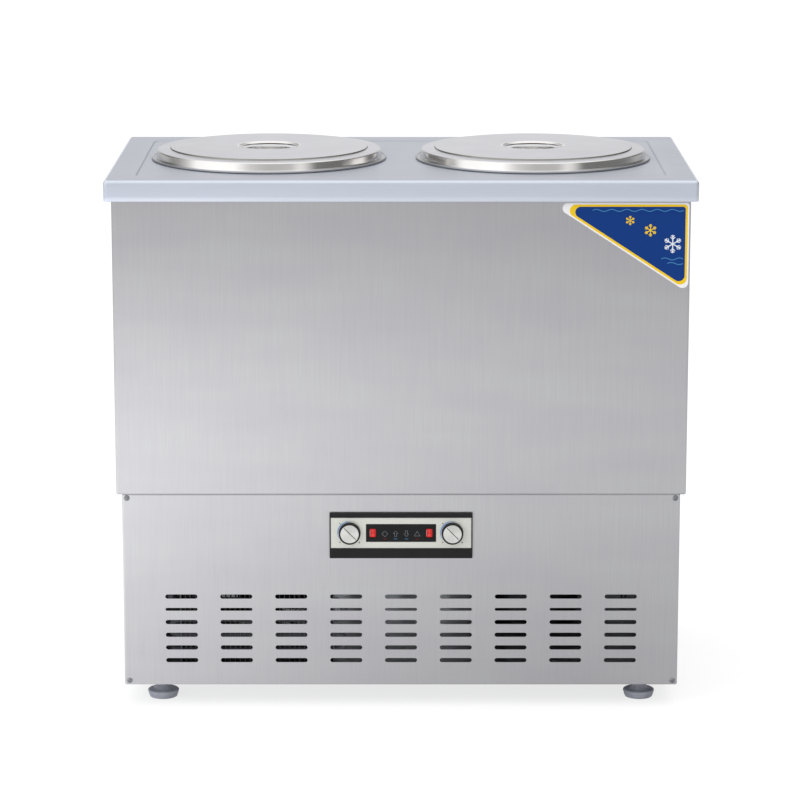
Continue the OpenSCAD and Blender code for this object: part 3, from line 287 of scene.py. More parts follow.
enamel_finish = coated("black_enamel_orange_peel", "#111214", "#17181A", 0.2, 2.5, 0.02)
motor_finish = coated("black_motor_paint", "#1D1E20", "#26272A", 0.45, 1.0, 0.02)
# The fins and the condenser tube are dark greys so that the slots look dark: painted shade.
fin_finish = coated("aluminium_fins_painted_shade_grey", "#505257", "#585A5F", 0.6, 0.8, 0.01)
coil_finish = coated("copper_tube_painted_shade_grey", "#4A4C51", "#54565B", 0.62, 1.2, 0.015, specular=0.3)
black_plastic_finish = coated("moulded_abs_black", "#19181A", "#1F1E20", 0.42, 0.7, 0.012, specular=0.25)
acrylic_finish = coated("clear_acrylic_over_black", "#101113", "#151618", 0.12, 5.0, 0.0005, 30.0, 1.49, 0.05,
                        0.25)
white_plastic_finish = coated("moulded_pbt_white", "#D5D5D0", "#DEDEDA", 0.45, 0.8, 0.01)
foot_finish = coated("moulded_nylon_grey", "#ABAFBA", "#BABEC9", 0.46, 0.8, 0.02, 12.0, 1.53, 0.12)
rubber_finish = coated("moulded_rubber", "#18181A", "#202022", 0.75, 0.9, 0.02, 15.0, 1.52)
foam_finish = coated("rigid_urethane_foam", "#D9CB92", "#E6DAA8", 0.92, 1.4, 0.25, 18.0, 1.45)

# %% [markdown]
# ## Fascia, caps and lamps
# The fascia is anodised aluminium, brushed from side to side, with a warm tint from its clear coat. The knob
# caps are aluminium discs turned on a lathe. The rockers are red polycarbonate with a small lamp behind,
# brighter in the middle. The four lenses share one CAD node, so their colour is chosen by how far they stand
# from the middle.

# %% Fascia, caps and lamps
ROCKER_X, ROCKER_W = 43.7, 9.6
INNER_X, OUTER_X = 8.35, 25.05

fascia_finish = ground_steel("brushed_anodised_aluminium", "#E2E3DB", "#E6E7DF", (40, 40, 0.5),
                             (0.02, 0.02, 1), 0.3, 0.6, 60.0, 0.02, 0.0008, 0.5)
cap_finish = spun_steel("turned_aluminium_cap", "#E6E7E3", "#EEEFEB", 0.45, 0.3, 0.06, 0.003, 0.8)


def from_middle(place):
    """How far a place lies to the left or right of the middle."""
    return calc("ABSOLUTE", node(place.id_data, "SeparateXYZ", {0: place}))


rocker_finish, place = new_finish("lit_red_polycarbonate")
from_lamp = calc("ABSOLUTE", calc("SUBTRACT", from_middle(place), ROCKER_X * MM))
lamp_glow = ranged(calc("DIVIDE", from_lamp, ROCKER_W / 2 * MM), 0.0, 1.0, 0.32, 0.02)
grip = grain(place, 0.8)
principled(rocker_finish, {
    "Base Color": linear("#B41B1D"), "Roughness": between(grip, 0.18, 0.28), "IOR": 1.58,
    "Specular IOR Level": 0.3, "Emission Color": linear("#FF3B30"), "Emission Strength": lamp_glow})

lens_finish, place = new_finish("tinted_lens_polycarbonate")
outer = calc("GREATER_THAN", from_middle(place), (INNER_X + OUTER_X) / 2 * MM)
film = grain(place, 1.5)
principled(lens_finish, {
    "Base Color": tinted(outer, "#2E4C64", "#4A0C10"), "IOR": 1.58, "Specular IOR Level": 0.25,
    "Roughness": between(film, 0.2, 0.3)})

# %% [markdown]
# ## Surfaces from arrays
# A new piece is a grid of points: rows follow a profile and columns follow a path or go round an axis. The
# helpers below turn such a grid into a mesh. Points that coincide, as at a pole or a seam, are joined, and
# the faces of a closed shell are turned outwards.

# %% Helpers for the meshes
import bmesh


def stacked(*parts):
    """Puts arrays together along a new last axis, such as the x, y and z of points. Any of them may be one
    value for all."""
    return np.stack(np.broadcast_arrays(*parts), -1)


def grid_faces(rows, columns, wrap_rows, wrap_columns):
    """Four corners for each cell of a grid. A wrapped direction joins its last line to its first."""
    i = np.arange(rows if wrap_rows else rows - 1)[:, None]
    j = np.arange(columns if wrap_columns else columns - 1)
    below, beside = (i + 1) % rows, (j + 1) % columns
    return stacked(i * columns + j, i * columns + beside, below * columns + beside, below * columns + j)


class Shell:
    """Collects grids of points, in millimetres, that together make one mesh."""

    def __init__(self):
        self.points, self.faces, self.uvs, self.finish_rows = [], [], [], []
        self.count = 0

    def add(self, grid, finish=0, wrap_rows=False, wrap_columns=True):
        """Adds a grid of rows by columns by (x, y, z). finish is a number, or one number for each row of
        faces. The UV map gets the turn, and the distance down the first column."""
        rows, columns = grid.shape[:2]
        faces = grid_faces(rows, columns, wrap_rows, wrap_columns)
        steps = np.linalg.norm(np.diff(grid[:, 0], axis=0), axis=1)
        distance = np.concatenate([[0], np.cumsum(steps)]) * MM
        uv = stacked(np.linspace(0, 1, columns), distance[:, None]).reshape(-1, 2)
        self.points.append(grid.reshape(-1, 3))
        self.uvs.append(uv[faces.reshape(-1, 4)])
        self.faces.append(faces.reshape(-1, 4) + self.count)
        numbers = np.broadcast_to(np.atleast_1d(finish)[:, None], faces.shape[:2])
        self.finish_rows.append(numbers.reshape(-1))
        self.count += rows * columns
        return self

    def mesh(self, name, finishes, sharp, closed):
        """The mesh of all grids, with coinciding points joined and edges over sharp degrees kept crisp."""
        mesh = bpy.data.meshes.new(name)
        points, faces = np.concatenate(self.points) * MM, np.concatenate(self.faces)
        mesh.from_pydata(points.tolist(), [], faces.tolist())
        mesh.uv_layers.new(name="along").data.foreach_set("uv", np.concatenate(self.uvs).ravel())
        mesh.polygons.foreach_set("material_index", np.concatenate(self.finish_rows).astype(np.int32))
        for finish in finishes:
            mesh.materials.append(finish)
        shell = bmesh.new()
        shell.from_mesh(mesh)
        bmesh.ops.remove_doubles(shell, verts=shell.verts, dist=2e-6)
        if closed:
            bmesh.ops.recalc_face_normals(shell, faces=shell.faces)
        shell.to_mesh(mesh)
        shell.free()
        mesh.polygons.foreach_set("use_smooth", np.ones(len(mesh.polygons), bool))
        mesh.set_sharp_from_angle(angle=math.radians(sharp))
        return mesh


def piece(name, shell, finishes, body, stands_for=None, sharp=30, closed=True):
    """Puts a shell into the scene as a piece that rides a body and may stand for a CAD node."""
    made = placed(name, shell.mesh(name, finishes, sharp, closed))
    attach(made, body)
    if stands_for:
        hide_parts(stands_for)
    print(name, len(made.data.polygons), "faces")
    return made


print("mesh helpers ready")

# %% Helpers for the shapes


def unit(vectors):
    """The same vectors with a length of 1."""
    return vectors / np.linalg.norm(vectors, axis=-1, keepdims=True)


def heading(angle):
    """The direction (cos a, sin a) of each angle a."""
    return stacked(np.cos(angle), np.sin(angle))


def full_turn(steps):
    """Angles all the way round, without the last, which is the first again."""
    return np.linspace(0, 2 * np.pi, steps, endpoint=False)


def arc(centre, radius, start, end, steps):
    """Points on an arc about centre, from the angle start to end in degrees."""
    return centre + radius * heading(np.radians(np.linspace(start, end, steps)))


def line(start, end, steps):
    """Evenly spaced points from start to end, both included."""
    return np.linspace(start, end, steps)


def eased(t):
    """Runs from 0 to 1 with level ends: 3 t^2 - 2 t^3."""
    t = np.clip(t, 0, 1)
    return t * t * (3 - 2 * t)


def walled(profile, thickness):
    """A profile followed by its own copy, moved sideways by thickness, so that both make the section of a
    sheet. Each point moves along the mean of its neighbours' normals, further where the line bends."""
    step = unit(np.diff(profile, axis=0))
    normal = stacked(-step[:, 1], step[:, 0])
    before, after = np.vstack([normal[:1], normal]), np.vstack([normal, normal[-1:]])
    middle = unit(before + after)
    moved = profile + middle * thickness / np.sum(middle * before, axis=1)[:, None]
    return np.vstack([profile, moved[::-1]])


def revolved(profile, centre, columns=180):
    """Carries a profile of (r, z) round an upright axis: (cx + r cos a, cy + r sin a, z) for each angle a."""
    a = full_turn(columns)
    r, z = profile[:, :1], profile[:, 1:]
    return stacked(centre[0] + r * np.cos(a), centre[1] + r * np.sin(a), z)


def sides(x):
    """The left and the right side, each with its place, x from the middle."""
    return ("left", -x), ("right", x)


print("shape helpers ready")

# %% [markdown]
# ## Worktop
# The worktop is one pressed sheet: a raised border keeps spills in, its edge is bent down into an apron and
# hemmed, and the rim of each hole is drawn down into a collar. A grid suits it: columns run outwards from a
# hole and rows are nested outlines, from the collar over the field, the step, the border and the bend to the
# hem. One half is worked out and the other is its mirror image. A Solidify modifier gives the sheet its
# thickness. The apron has a finish of its own, with marks that run along it. Both finishes are only partly
# metallic, so they scatter some light. The top is painted darker than the apron as painted shade, and the
# apron is painted lighter and bluer as a painted reflection.

# %% Worktop sizes and outlines
POT_X, POT_Y = 209.0, 10.0
HOLE_R, COLLAR_BEND, COLLAR_H = 178.0, 3.0, 13.0
TOP_X, TOP_Y, TOP_Z, FIELD_Z, APRON_Z = 450.0, 260.0, 830.0, 828.0, 798.0
BEND, BORDER, STEP_RUN, FIELD_CORNER, SHEET = 5.0, 44.0, 3.0, 22.0, 1.2


def half_outline(inset, corner):
    """Right half of a rounded rectangle that lies inset inside the worktop's edge, from front to back."""
    hx, hy = TOP_X - inset, TOP_Y - inset
    cx, cy = hx - corner, hy - corner
    return np.vstack([
        line([0, -hy], [cx, -hy], 70)[:-1], arc([cx, -cy], corner, -90, 0, 14)[:-1],
        line([hx, -cy], [hx, cy], 60)[:-1], arc([cx, cy], corner, 0, 90, 14)[:-1],
        line([cx, hy], [0, hy], 70)])


def at_height(outline, z):
    """A flat outline lifted to the height z."""
    return stacked(outline[:, 0], outline[:, 1], z)


# %% Worktop: from the step outwards to the hem
edge_rows = [(BORDER + STEP_RUN * (1 - t), FIELD_CORNER, FIELD_Z + (TOP_Z - FIELD_Z) * eased(t))
             for t in np.linspace(0, 1, 7)]
edge_rows += [(inset, FIELD_CORNER * inset / BORDER, TOP_Z) for inset in (30, 16)]
first_apron_row = len(edge_rows) + 1
for turn in np.radians(np.linspace(90, 0, 9)):
    inset = BEND * (1 - math.cos(turn))
    edge_rows.append((inset, BEND + 1 - inset, TOP_Z - BEND + BEND * math.sin(turn)))
for inset, above in ((0, 8), (0, 0.8), (0.25, 0.2), (0.8, 0), (10.7, 0)):
    edge_rows.append((inset, BEND + 1 - 0.4 * inset, APRON_Z + above))
edge = np.stack([at_height(half_outline(inset, corner), z) for inset, corner, z in edge_rows])
print("worktop edge grid", edge.shape)

# %% Worktop: field and collar round one hole
seam_line = line([0, TOP_Y - BORDER - STEP_RUN], [0, BORDER + STEP_RUN - TOP_Y], 70)[1:-1]
rim = np.vstack([half_outline(BORDER + STEP_RUN, FIELD_CORNER), seam_line])
ring = unit(rim - [POT_X, POT_Y])
hole_rows = [at_height([POT_X, POT_Y] + HOLE_R * ring, FIELD_Z - COLLAR_H)]
for r, z in arc([HOLE_R + COLLAR_BEND, FIELD_Z - COLLAR_BEND], COLLAR_BEND, 180, 90, 7):
    hole_rows.append(at_height([POT_X, POT_Y] + r * ring, z))
lip = hole_rows[-1]
for t in np.linspace(0, 1, 6)[1:]:
    hole_rows.append((1 - t) * lip + t * at_height(rim, FIELD_Z))
field = np.stack(hole_rows)
apron_rows = (np.arange(len(edge) - 1) >= first_apron_row).astype(int)
worktop_shell = Shell()
for way in (1, -1):
    worktop_shell.add((edge * [way, 1, 1])[:, ::way], apron_rows, wrap_columns=False)
    worktop_shell.add((field * [way, 1, 1])[:, ::way])
worktop = piece("worktop_sheet", worktop_shell, [worktop_painted_shade_finish, apron_painted_reflection_finish], "cabinet",
                "worktop", 50, False)
if sum(p.normal.z * p.area for p in worktop.data.polygons) < 0:
    worktop.data.flip_normals()
sheet = worktop.modifiers.new("sheet thickness", "SOLIDIFY")
sheet.thickness, sheet.offset, sheet.use_even_offset = SHEET * MM, -1.0, True

# %% [markdown]
# ## Pots
# A pot is drawn from one disc of steel. Its rim turns out and ends in a rolled bead, which rests on the
# worktop and shows as a ring round the lid. The section is one closed line: the inside, the bead, then the
# outside.

# %% Pots
POT_R, POT_WALL, FLOOR_Z, RIM_Z, RIM_BEND = 172.0, 1.0, 435.6, 830.6, 3.5
BEAD_RING_R, BEAD_R, BEAD_Z = 184.0, 1.8, 830.1
CORNER = 14.0
corner_r, corner_z = POT_R - CORNER, FLOOR_Z + CORNER - POT_WALL
rim_r, rim_z = POT_R + RIM_BEND - POT_WALL, RIM_Z - RIM_BEND
half_open = math.degrees(math.asin(POT_WALL / 2 / BEAD_R))
inside = np.vstack([
    line([0, FLOOR_Z], [corner_r, FLOOR_Z], 20),
    arc([corner_r, corner_z], CORNER - POT_WALL, -90, 0, 12)[1:],
    line([POT_R - POT_WALL, FLOOR_Z + CORNER], [POT_R - POT_WALL, rim_z], 40),
    arc([rim_r, rim_z], RIM_BEND, 180, 90, 8)[1:]])
bead = arc([BEAD_RING_R, BEAD_Z], BEAD_R, 180 - half_open, half_open - 180, 25)
outside = np.vstack([
    arc([rim_r, rim_z], RIM_BEND - POT_WALL, 90, 180, 8),
    line([POT_R, rim_z - 1], [POT_R, corner_z], 40),
    arc([corner_r, corner_z], CORNER, 0, -90, 12)[1:],
    line([corner_r, FLOOR_Z - POT_WALL], [0, FLOOR_Z - POT_WALL], 20)[1:]])
pot_profile = np.vstack([inside, bead, outside])
row = np.arange(len(pot_profile) - 1)
row_of_bead = (row >= len(inside) - 6) & (row < len(inside) + len(bead) + 6)
for side, x in sides(POT_X):
    pot_shell = Shell().add(revolved(pot_profile, (x, POT_Y)), row_of_bead.astype(int))
    piece(f"pot_{side}_drawn", pot_shell, [pot_wall_finish, pot_bead_finish], f"pot_{side}",
          f"pot_{side}", 60)

# %% [markdown]
# ## Lids
# Each lid is pressed in one piece: a short skirt with a flared lip, a tight bend, a sloping rim, a step up to
# the crowned middle, and a round recess for the hand. A shallow ledge in the recess carries the strap handle.
# The profile is the same as the CAD model's, with smooth bends in place of flats. A pressed skirt leans in a
# little towards the top so that it leaves its die, and so it mirrors the room, not the worktop below it.

# %% Lids
LID_R, LID_Z, SKIRT_H, LID_BEND, LID_WALL = 178.2, 830.9, 13.5, 2.6, 1.0
LID_RIM_Z, LID_TOP_Z, DISC_R, STEP_R = LID_Z + SKIRT_H, 848.9, 154.0, 156.6
RECESS_R, LEDGE_DROP, DISH_R, DISH_DEPTH, DISH_CORNER = 47.5, 4.0, 36.5, 20.0, 5.0
FLARE, FLARE_H, LEAN = 0.5, 1.2, 1.3
skirt_z = np.linspace(LID_Z, LID_RIM_Z - LID_BEND, 20)[:-1]
up_skirt = skirt_z - LID_Z
skirt_r = LID_R - LEAN * up_skirt / (SKIRT_H - LID_BEND) + FLARE * np.exp(-(up_skirt / FLARE_H) ** 2)
skirt = stacked(skirt_r, skirt_z)
bend_r = LID_R - LEAN - LID_BEND
bend = arc([bend_r, LID_RIM_Z - LID_BEND], LID_BEND, 6, 87, 12)
slope_r = np.linspace(bend_r - 1, STEP_R, 12)
slope = stacked(slope_r, LID_RIM_Z + (bend_r - slope_r) / (bend_r - STEP_R))
step_t = np.linspace(0, 1, 12)[1:]
step = stacked(STEP_R - 1.2 * step_t, LID_RIM_Z + 1 + 2.0 * eased(step_t))
crown_r = np.linspace(DISC_R, RECESS_R + 3.5, 40)
crown_turn = (DISC_R - crown_r) / (DISC_R - RECESS_R) * np.pi / 2
crown = stacked(crown_r, LID_RIM_Z + 3 + 1.5 * np.sin(crown_turn))
brow = arc([RECESS_R + 2.5, LID_TOP_Z - 2.5], 2.5, 88, 152, 8)
ledge_z, dish_z, dish_r = LID_TOP_Z - LEDGE_DROP, LID_TOP_Z - DISH_DEPTH, DISH_R - 1
ledge = np.vstack([arc([RECESS_R - 0.6, ledge_z + 1.6], 1.6, 200, 268, 6),
                   line([RECESS_R - 2.5, ledge_z], [DISH_R + 1.2, ledge_z], 6)[1:]])
dish = np.vstack([
    arc([DISH_R + 0.4, ledge_z - 1.2], 1.2, 100, 178, 6),
    line([DISH_R - 0.85, ledge_z - 2.5], [dish_r, dish_z + DISH_CORNER], 8),
    arc([dish_r - DISH_CORNER, dish_z + DISH_CORNER], DISH_CORNER, 0, -90, 12)[1:],
    line([dish_r - DISH_CORNER, dish_z], [0, dish_z], 12)[1:]])
lid_profile = walled(np.vstack([skirt, bend, slope, step, crown, brow, ledge, dish]), LID_WALL)
lid_profile[:, 0] = np.maximum(lid_profile[:, 0], 0)
row_radius = (lid_profile[:-1, 0] + lid_profile[1:, 0]) / 2
TOP, BRIGHT, PAINTED_SHADE = 0, 1, 2
lid_rows = np.where((row_radius > bend_r + LID_BEND / 2) | (row_radius < RECESS_R + 3), BRIGHT, TOP)
# The step and the ledge in the recess take the darker steel: painted shade.
lid_rows[(row_radius > DISC_R + 0.8) & (row_radius < STEP_R)] = PAINTED_SHADE
lid_rows[(row_radius > DISH_R + 1) & (row_radius < RECESS_R - 1)] = PAINTED_SHADE
for side, x in sides(POT_X):
    lid_grid = revolved(lid_profile, (x, POT_Y), 220)
    piece(f"lid_{side}_pressed", Shell().add(lid_grid, np.append(lid_rows, BRIGHT), wrap_rows=True),
          [lid_top_finish, lid_bright_finish, lid_painted_shade_finish], f"lid_{side}", f"lid_{side}", 55)

# %% [markdown]
# ## Strap handles
# The strap lies across the recess, with its round ends spot-welded to the ledge. It is a rounded bar section
# carried along a low arch, narrowing to nothing at both ends as a half circle does.

# %% Strap handles
STRAP_HALF, STRAP_W, STRAP_T, STRAP_RISE, STRAP_GAP = 44.5, 22.0, 2.0, 1.5, 0.02
s = STRAP_HALF * np.sin(np.linspace(-np.pi / 2, np.pi / 2, 61))[:, None]
end_run = np.clip(np.abs(s) - (STRAP_HALF - STRAP_W / 2), 0, STRAP_W / 2)
half_width = np.sqrt(np.maximum((STRAP_W / 2) ** 2 - end_run ** 2, 0))
lift = STRAP_RISE * eased((DISH_R - np.abs(s)) / (STRAP_W / 2))
around = full_turn(28)
across = np.sign(np.cos(around)) * np.abs(np.cos(around)) ** 0.35
up = np.sign(np.sin(around)) * np.abs(np.sin(around)) ** 0.6
thinned = np.minimum(1, half_width / 1.5)
for side, x in sides(POT_X):
    strap_grid = stacked(x + s, POT_Y + half_width * across,
                         ledge_z + STRAP_GAP + lift + STRAP_T / 2 * (1 + thinned * up))
    piece(f"strap_{side}", Shell().add(strap_grid), [strap_finish], f"lid_{side}",
          f"lid_strap_{side}", 50)

# %% [markdown]
# ## Knobs and their caps
# A knob is moulded in black plastic: a flange, a fluted grip and a seat for the metal cap. The same revolve
# makes it, turned to face forwards, with a radius that dips 30 times round the grip. The cap slopes gently
# away from a ridge that points from the upper left to the lower right.

# %% Knobs
FASCIA_Z, FASCIA_Y, WINDOW_Y = 279.0, -244.1, -244.5
KNOB_X, KNOB_Y, KNOB_H, CAP_R, CAP_T = 79.5, -244.6, 9.0, 14.2, 1.6
FLUTES, FLUTE_DEPTH = 30, 0.35
knob_profile = np.array([
    [6, 0], [16.5, 0], [16.9, 0.4], [16.9, 1.6], [16.8, 1.95], [16.6, 2.3], [16.55, 2.8], [16.55, 3.9],
    [16.6, 5.2], [16.6, 6.3], [16.6, 7.3], [16.6, 7.9], [16.4, 8.15], [15.9, 8.2], [14.5, 8.2], [14.5, 7.4],
    [3.05, 7.4], [3.05, 2.5], [6, 2.5]])
fluted = np.interp(np.arange(len(knob_profile)), [4, 6, 9, 11], [0, 1, 1, 0], left=0, right=0)


def facing_front(profile, x, z, y, columns=120, dip=0.0, dips=0):
    """Carries a profile of (r, distance forwards) round an axis that points to the front. The radius dips by
    dip * |sin(dips a / 2)|."""
    a = full_turn(columns)
    r = profile[:, :1] - np.reshape(dip, (-1, 1)) * np.abs(np.sin(dips * a / 2))
    return stacked(x + r * np.cos(a), y - profile[:, 1:], z + r * np.sin(a))


for side, x in sides(KNOB_X):
    knob_grid = facing_front(knob_profile, x, FASCIA_Z, KNOB_Y, 240, FLUTE_DEPTH * fluted, FLUTES)
    piece(f"knob_{side}_moulded", Shell().add(knob_grid, wrap_rows=True), [black_plastic_finish],
          f"knob_{side}", f"knob_{side}", 45)

# %% Knob caps
FACE_Y = KNOB_Y - KNOB_H
CAP_SLOPE, CAP_EDGE = 0.75, 0.4
RIDGE_HALF, RIDGE_W, RIDGE_H = 13.6, 1.5, 1.2
cap_profile = np.vstack([
    line([0, 0.02], [CAP_R, 0.02], 4), [[CAP_R, CAP_T - 0.55]],
    arc([CAP_R - CAP_EDGE, CAP_T - CAP_EDGE], CAP_EDGE, 10, 90, 6),
    line([CAP_R - 0.8, CAP_T], [0, CAP_T], 16)])
ridge_s = RIDGE_HALF * np.sin(np.linspace(-np.pi / 2, np.pi / 2, 41))[:, None]
ridge_end = np.sqrt(np.maximum(1 - (ridge_s / RIDGE_HALF) ** 8, 0))
section = np.linspace(0, np.pi, 11)
ridge_across = ridge_end * RIDGE_W / 2 * np.cos(section)
ridge_up = ridge_end * (RIDGE_H + 0.4) * np.sin(section) ** 0.7 - 0.4
for side, x in sides(KNOB_X):
    cap_grid = facing_front(cap_profile, x, FASCIA_Z, FACE_Y + CAP_T)
    off_ridge = np.abs((cap_grid[..., 0] - x) + (cap_grid[..., 2] - FASCIA_Z)) / math.sqrt(2)
    face_rows = (cap_profile[:, 1] > CAP_T / 2)[:, None]
    cap_grid[..., 1] += face_rows * CAP_SLOPE * off_ridge / CAP_R
    ridge_grid = stacked(x + (ridge_s - ridge_across) / math.sqrt(2), FACE_Y - ridge_up,
                         FASCIA_Z - (ridge_s + ridge_across) / math.sqrt(2))
    piece(f"knob_cap_{side}_turned", Shell().add(cap_grid).add(ridge_grid), [cap_finish], f"knob_{side}",
          f"knob_cap_{side}", 40)

# %% [markdown]
# ## Rocker switches
# A rocker has a hollow face so that a finger finds it, and turns on a pin at each side. Its outline is
# carried from one side to the other, a little smaller at the sides so that the edges are round, then tilted
# so that the top half is pressed in: both switches are on.

# %% Rocker switches
ROCKER_H, PIVOT_Y, NOSE, DIP, BACK, TILT = 12.6, -242.9, 3.4, 0.9, 2.0, math.radians(8)
PIN_X, PIN_R = 6.0, 1.0


def on_rocker(x, height, forwards):
    """Places a point of the rocker: x to the right, height upwards and forwards from the pin, then tilted."""
    return stacked(x, PIVOT_Y - forwards * math.cos(TILT) + height * math.sin(TILT),
                   FASCIA_Z + forwards * math.sin(TILT) + height * math.cos(TILT))


def rocker_face(height):
    """Distance of the hollow face from the pin: deepest in the middle and full at both ends."""
    return NOSE - DIP * (1 - (2 * height / ROCKER_H) ** 2)


half = ROCKER_H / 2
face_h = np.linspace(0.35 - half, half - 0.35, 19)
rocker_loop = np.vstack([
    stacked(face_h, rocker_face(face_h)), [[half, NOSE - 0.55], [half, 1 - BACK]],
    [[half - 2, -BACK], [2 - half, -BACK]], [[-half, 1 - BACK], [-half, NOSE - 0.55]]])
loop_middle = rocker_loop.mean(axis=0)
loop_at = np.array([-1, -1, -0.93, -0.85, 0.85, 0.93, 1, 1])[:, None] * ROCKER_W / 2
loop_size = np.array([0, 0.92, 0.975, 1, 1, 0.975, 0.92, 0])[:, None, None]
loops = loop_middle + (rocker_loop - loop_middle) * loop_size
pin_at = np.array([[-PIN_X], [-PIN_X], [PIN_X], [PIN_X]])
pin_loops = np.array([0, PIN_R, PIN_R, 0])[:, None, None] * heading(full_turn(20))
for side, x in sides(ROCKER_X):
    rocker_grid = on_rocker(x + loop_at, loops[..., 0], loops[..., 1])
    pin_grid = on_rocker(x + pin_at, pin_loops[..., 0], pin_loops[..., 1])
    piece(f"rocker_{side}_moulded", Shell().add(rocker_grid).add(pin_grid), [rocker_finish],
          f"rocker_{side}", f"switch_rocker_{side}", 40)

# %% [markdown]
# ## Printed marks
# Marks on the panel are screen-printed: a film of ink a few hundredths of a millimetre thick. A stroke is a
# path with a width, given four corners at each point so that it is a thin closed bar. The same strokes draw
# the switch marks, the symbols in the window and the scales round the knobs. They also draw a painted
# highlight down the edge of each rocker and a line of painted shade beside each knob's ridge, which are not
# print.

# %% Ink and strokes


def ink(name, colour, roughness=0.5, specular=0.3):
    """Matt screen ink, with the faint unevenness of a printed film. The same finish also makes the painted
    highlight on the rockers and the painted shade beside the knob ridges.
    """
    material, place = new_finish(name)
    film = grain(place, 0.6)
    return principled(material, {"Base Color": linear(colour), "Specular IOR Level": specular,
                                 "Roughness": between(film, roughness - 0.06, roughness + 0.06)})


def stroke(path, width, depth=0.06, closed=False):
    """A line of ink along a path of (x, z): four corners at each point, half the width to either side."""
    path, width = np.asarray(path, float), np.broadcast_to(width, len(path))
    ahead = np.roll(path, -1, 0) - path
    behind = path - np.roll(path, 1, 0)
    if not closed:
        ahead[-1], behind[0] = behind[-1], ahead[0]
    ahead, behind = unit(ahead), unit(behind)
    middle = unit(ahead + behind)
    reach = width / 2 / np.maximum(np.sum(middle * ahead, axis=1), 0.5)
    side = stacked(-middle[:, 1], middle[:, 0]) * reach[:, None]
    corners = [(path + side, -depth), (path - side, -depth), (path - side, 0), (path + side, 0)]
    bar = np.stack([stacked(p[:, 0], y, p[:, 1]) for p, y in corners], 1)
    if closed:
        return np.concatenate([bar, bar[:1]])
    ends = [np.repeat(bar[k:k + 1].mean(axis=1, keepdims=True), 4, axis=1) for k in (0, len(bar) - 1)]
    return np.concatenate([ends[0], bar, ends[1]])


def printed(name, bars, finish, body, y=0.0):
    """Joins strokes into one piece, which lies on a face at y."""
    shell = Shell()
    for bar in bars:
        shell.add(bar + [0, y, 0])
    return piece(name, shell, [finish], body)


# A pale finish for the painted highlight on the rockers' edge.
painted_highlight_ink = ink("pale_grey_painted_highlight", "#B9AEB2")
red_ink = ink("light_red_screen_ink", "#E8645E")
grey_ink = ink("grey_screen_ink", "#83898F")
# Dark ink for the scale ticks, also used for the painted shade beside each knob's ridge.
dark_ink_and_painted_shade = ink("black_screen_ink_and_painted_shade", "#202225")
blue_ink = ink("light_blue_screen_ink", "#7FA4DC")

# %% Marks on the rockers


def on_face(bar, x):
    """Carries flat strokes onto the hollow face of the rocker at x."""
    return on_rocker(x + bar[..., 0], bar[..., 2], rocker_face(bar[..., 2]) - bar[..., 1])


on_mark = stroke([[0, 1.6], [0, 4.4]], 0.7)
off_mark = stroke(arc([0, -3.2], 1.3, 0, 345, 24), 0.6, closed=True)
# A pale line down the left edge of each rocker face: a painted highlight.
edge_painted_highlight = stroke([[-4.2, -4.6], [-4.2, 4.6]], 0.5)
for side, x in sides(ROCKER_X):
    printed(f"rocker_marks_{side}", [on_face(on_mark, x), on_face(off_mark, x)], red_ink, f"rocker_{side}")
    printed(f"rocker_edge_painted_highlight_{side}", [on_face(edge_painted_highlight, x)], painted_highlight_ink, f"rocker_{side}")

# %% Symbols in the window
SYMBOL_Z, SYMBOL_SCALE, LINE_W = 277.6, 1.08, 0.4
diamond = [[0, 4.2], [4.4, 0], [0, -4.2], [-4.4, 0]]
arrow = np.array([[0, 4.6], [3.4, 0.6], [1.4, 0.6], [1.4, -4], [-1.4, -4], [-1.4, 0.6], [-3.4, 0.6]])
triangle = [[0, 4.2], [4.2, -3], [-4.2, -3]]
symbols = []
for shape, x in ((diamond, -OUTER_X), (arrow, -INNER_X), (arrow * [1, -1] + [0, 0.6], INNER_X),
                 (triangle, OUTER_X)):
    symbols.append(stroke(SYMBOL_SCALE * np.array(shape) + [x, SYMBOL_Z], LINE_W, closed=True))
printed("window_symbols", symbols, grey_ink, "cabinet", WINDOW_Y)

# %% Scales round the knobs, and a line of painted shade beside each pointer ridge
TICK_R, ARC_R = 20.6, 18.3
fade = 0.15 + 1.6 * np.sin(np.linspace(0.05, np.pi - 0.05, 40))
ticks, arcs = [], []
for side, x in sides(KNOB_X):
    for clock, width in ((225, 1.0), (135, 1.0), (-45, 1.4)):
        way = heading(math.radians(clock))
        ticks.append(stroke([[x, FASCIA_Z] + way * (TICK_R + r) for r in (-0.8, 1.8)], width))
    arcs.append(stroke(arc([x, FASCIA_Z], ARC_R, 215, 80, 40), fade))
printed("scale_ticks", ticks, dark_ink_and_painted_shade, "cabinet", FASCIA_Y)
printed("scale_arcs", arcs, blue_ink, "cabinet", FASCIA_Y)
# A dark line along each ridge stands for the ridge's shade on the cap: painted shade, not print.
pointer = np.array([[-12.9, 12.9], [12.3, -12.3]]) / math.sqrt(2) + RIDGE_W / 2
for side, x in sides(KNOB_X):
    printed(f"ridge_painted_shade_line_{side}", [stroke(pointer + [x, FASCIA_Z], 0.7)], dark_ink_and_painted_shade, f"knob_{side}",
            FACE_Y + 0.05)

# %% [markdown]
# ## Sticker
# A three-cornered vinyl sticker covers the upper right corner of the front: a white rim, a yellow band and a
# blue field with snowflakes and water lines, for a machine that keeps things cold. Each layer is a rounded
# triangle, fanned out from its middle, a tenth of a millimetre over the last.

# %% Sticker
PANEL_Y, FIELD_OVER, WAVE_END = -249.0, 0.4, 428
STICKER = np.array([[225.3, 794.6], [436.5, 794.6], [436.5, 656.8]])
STICKER_ROUND = np.array([8.1, 4.0, 8.8])


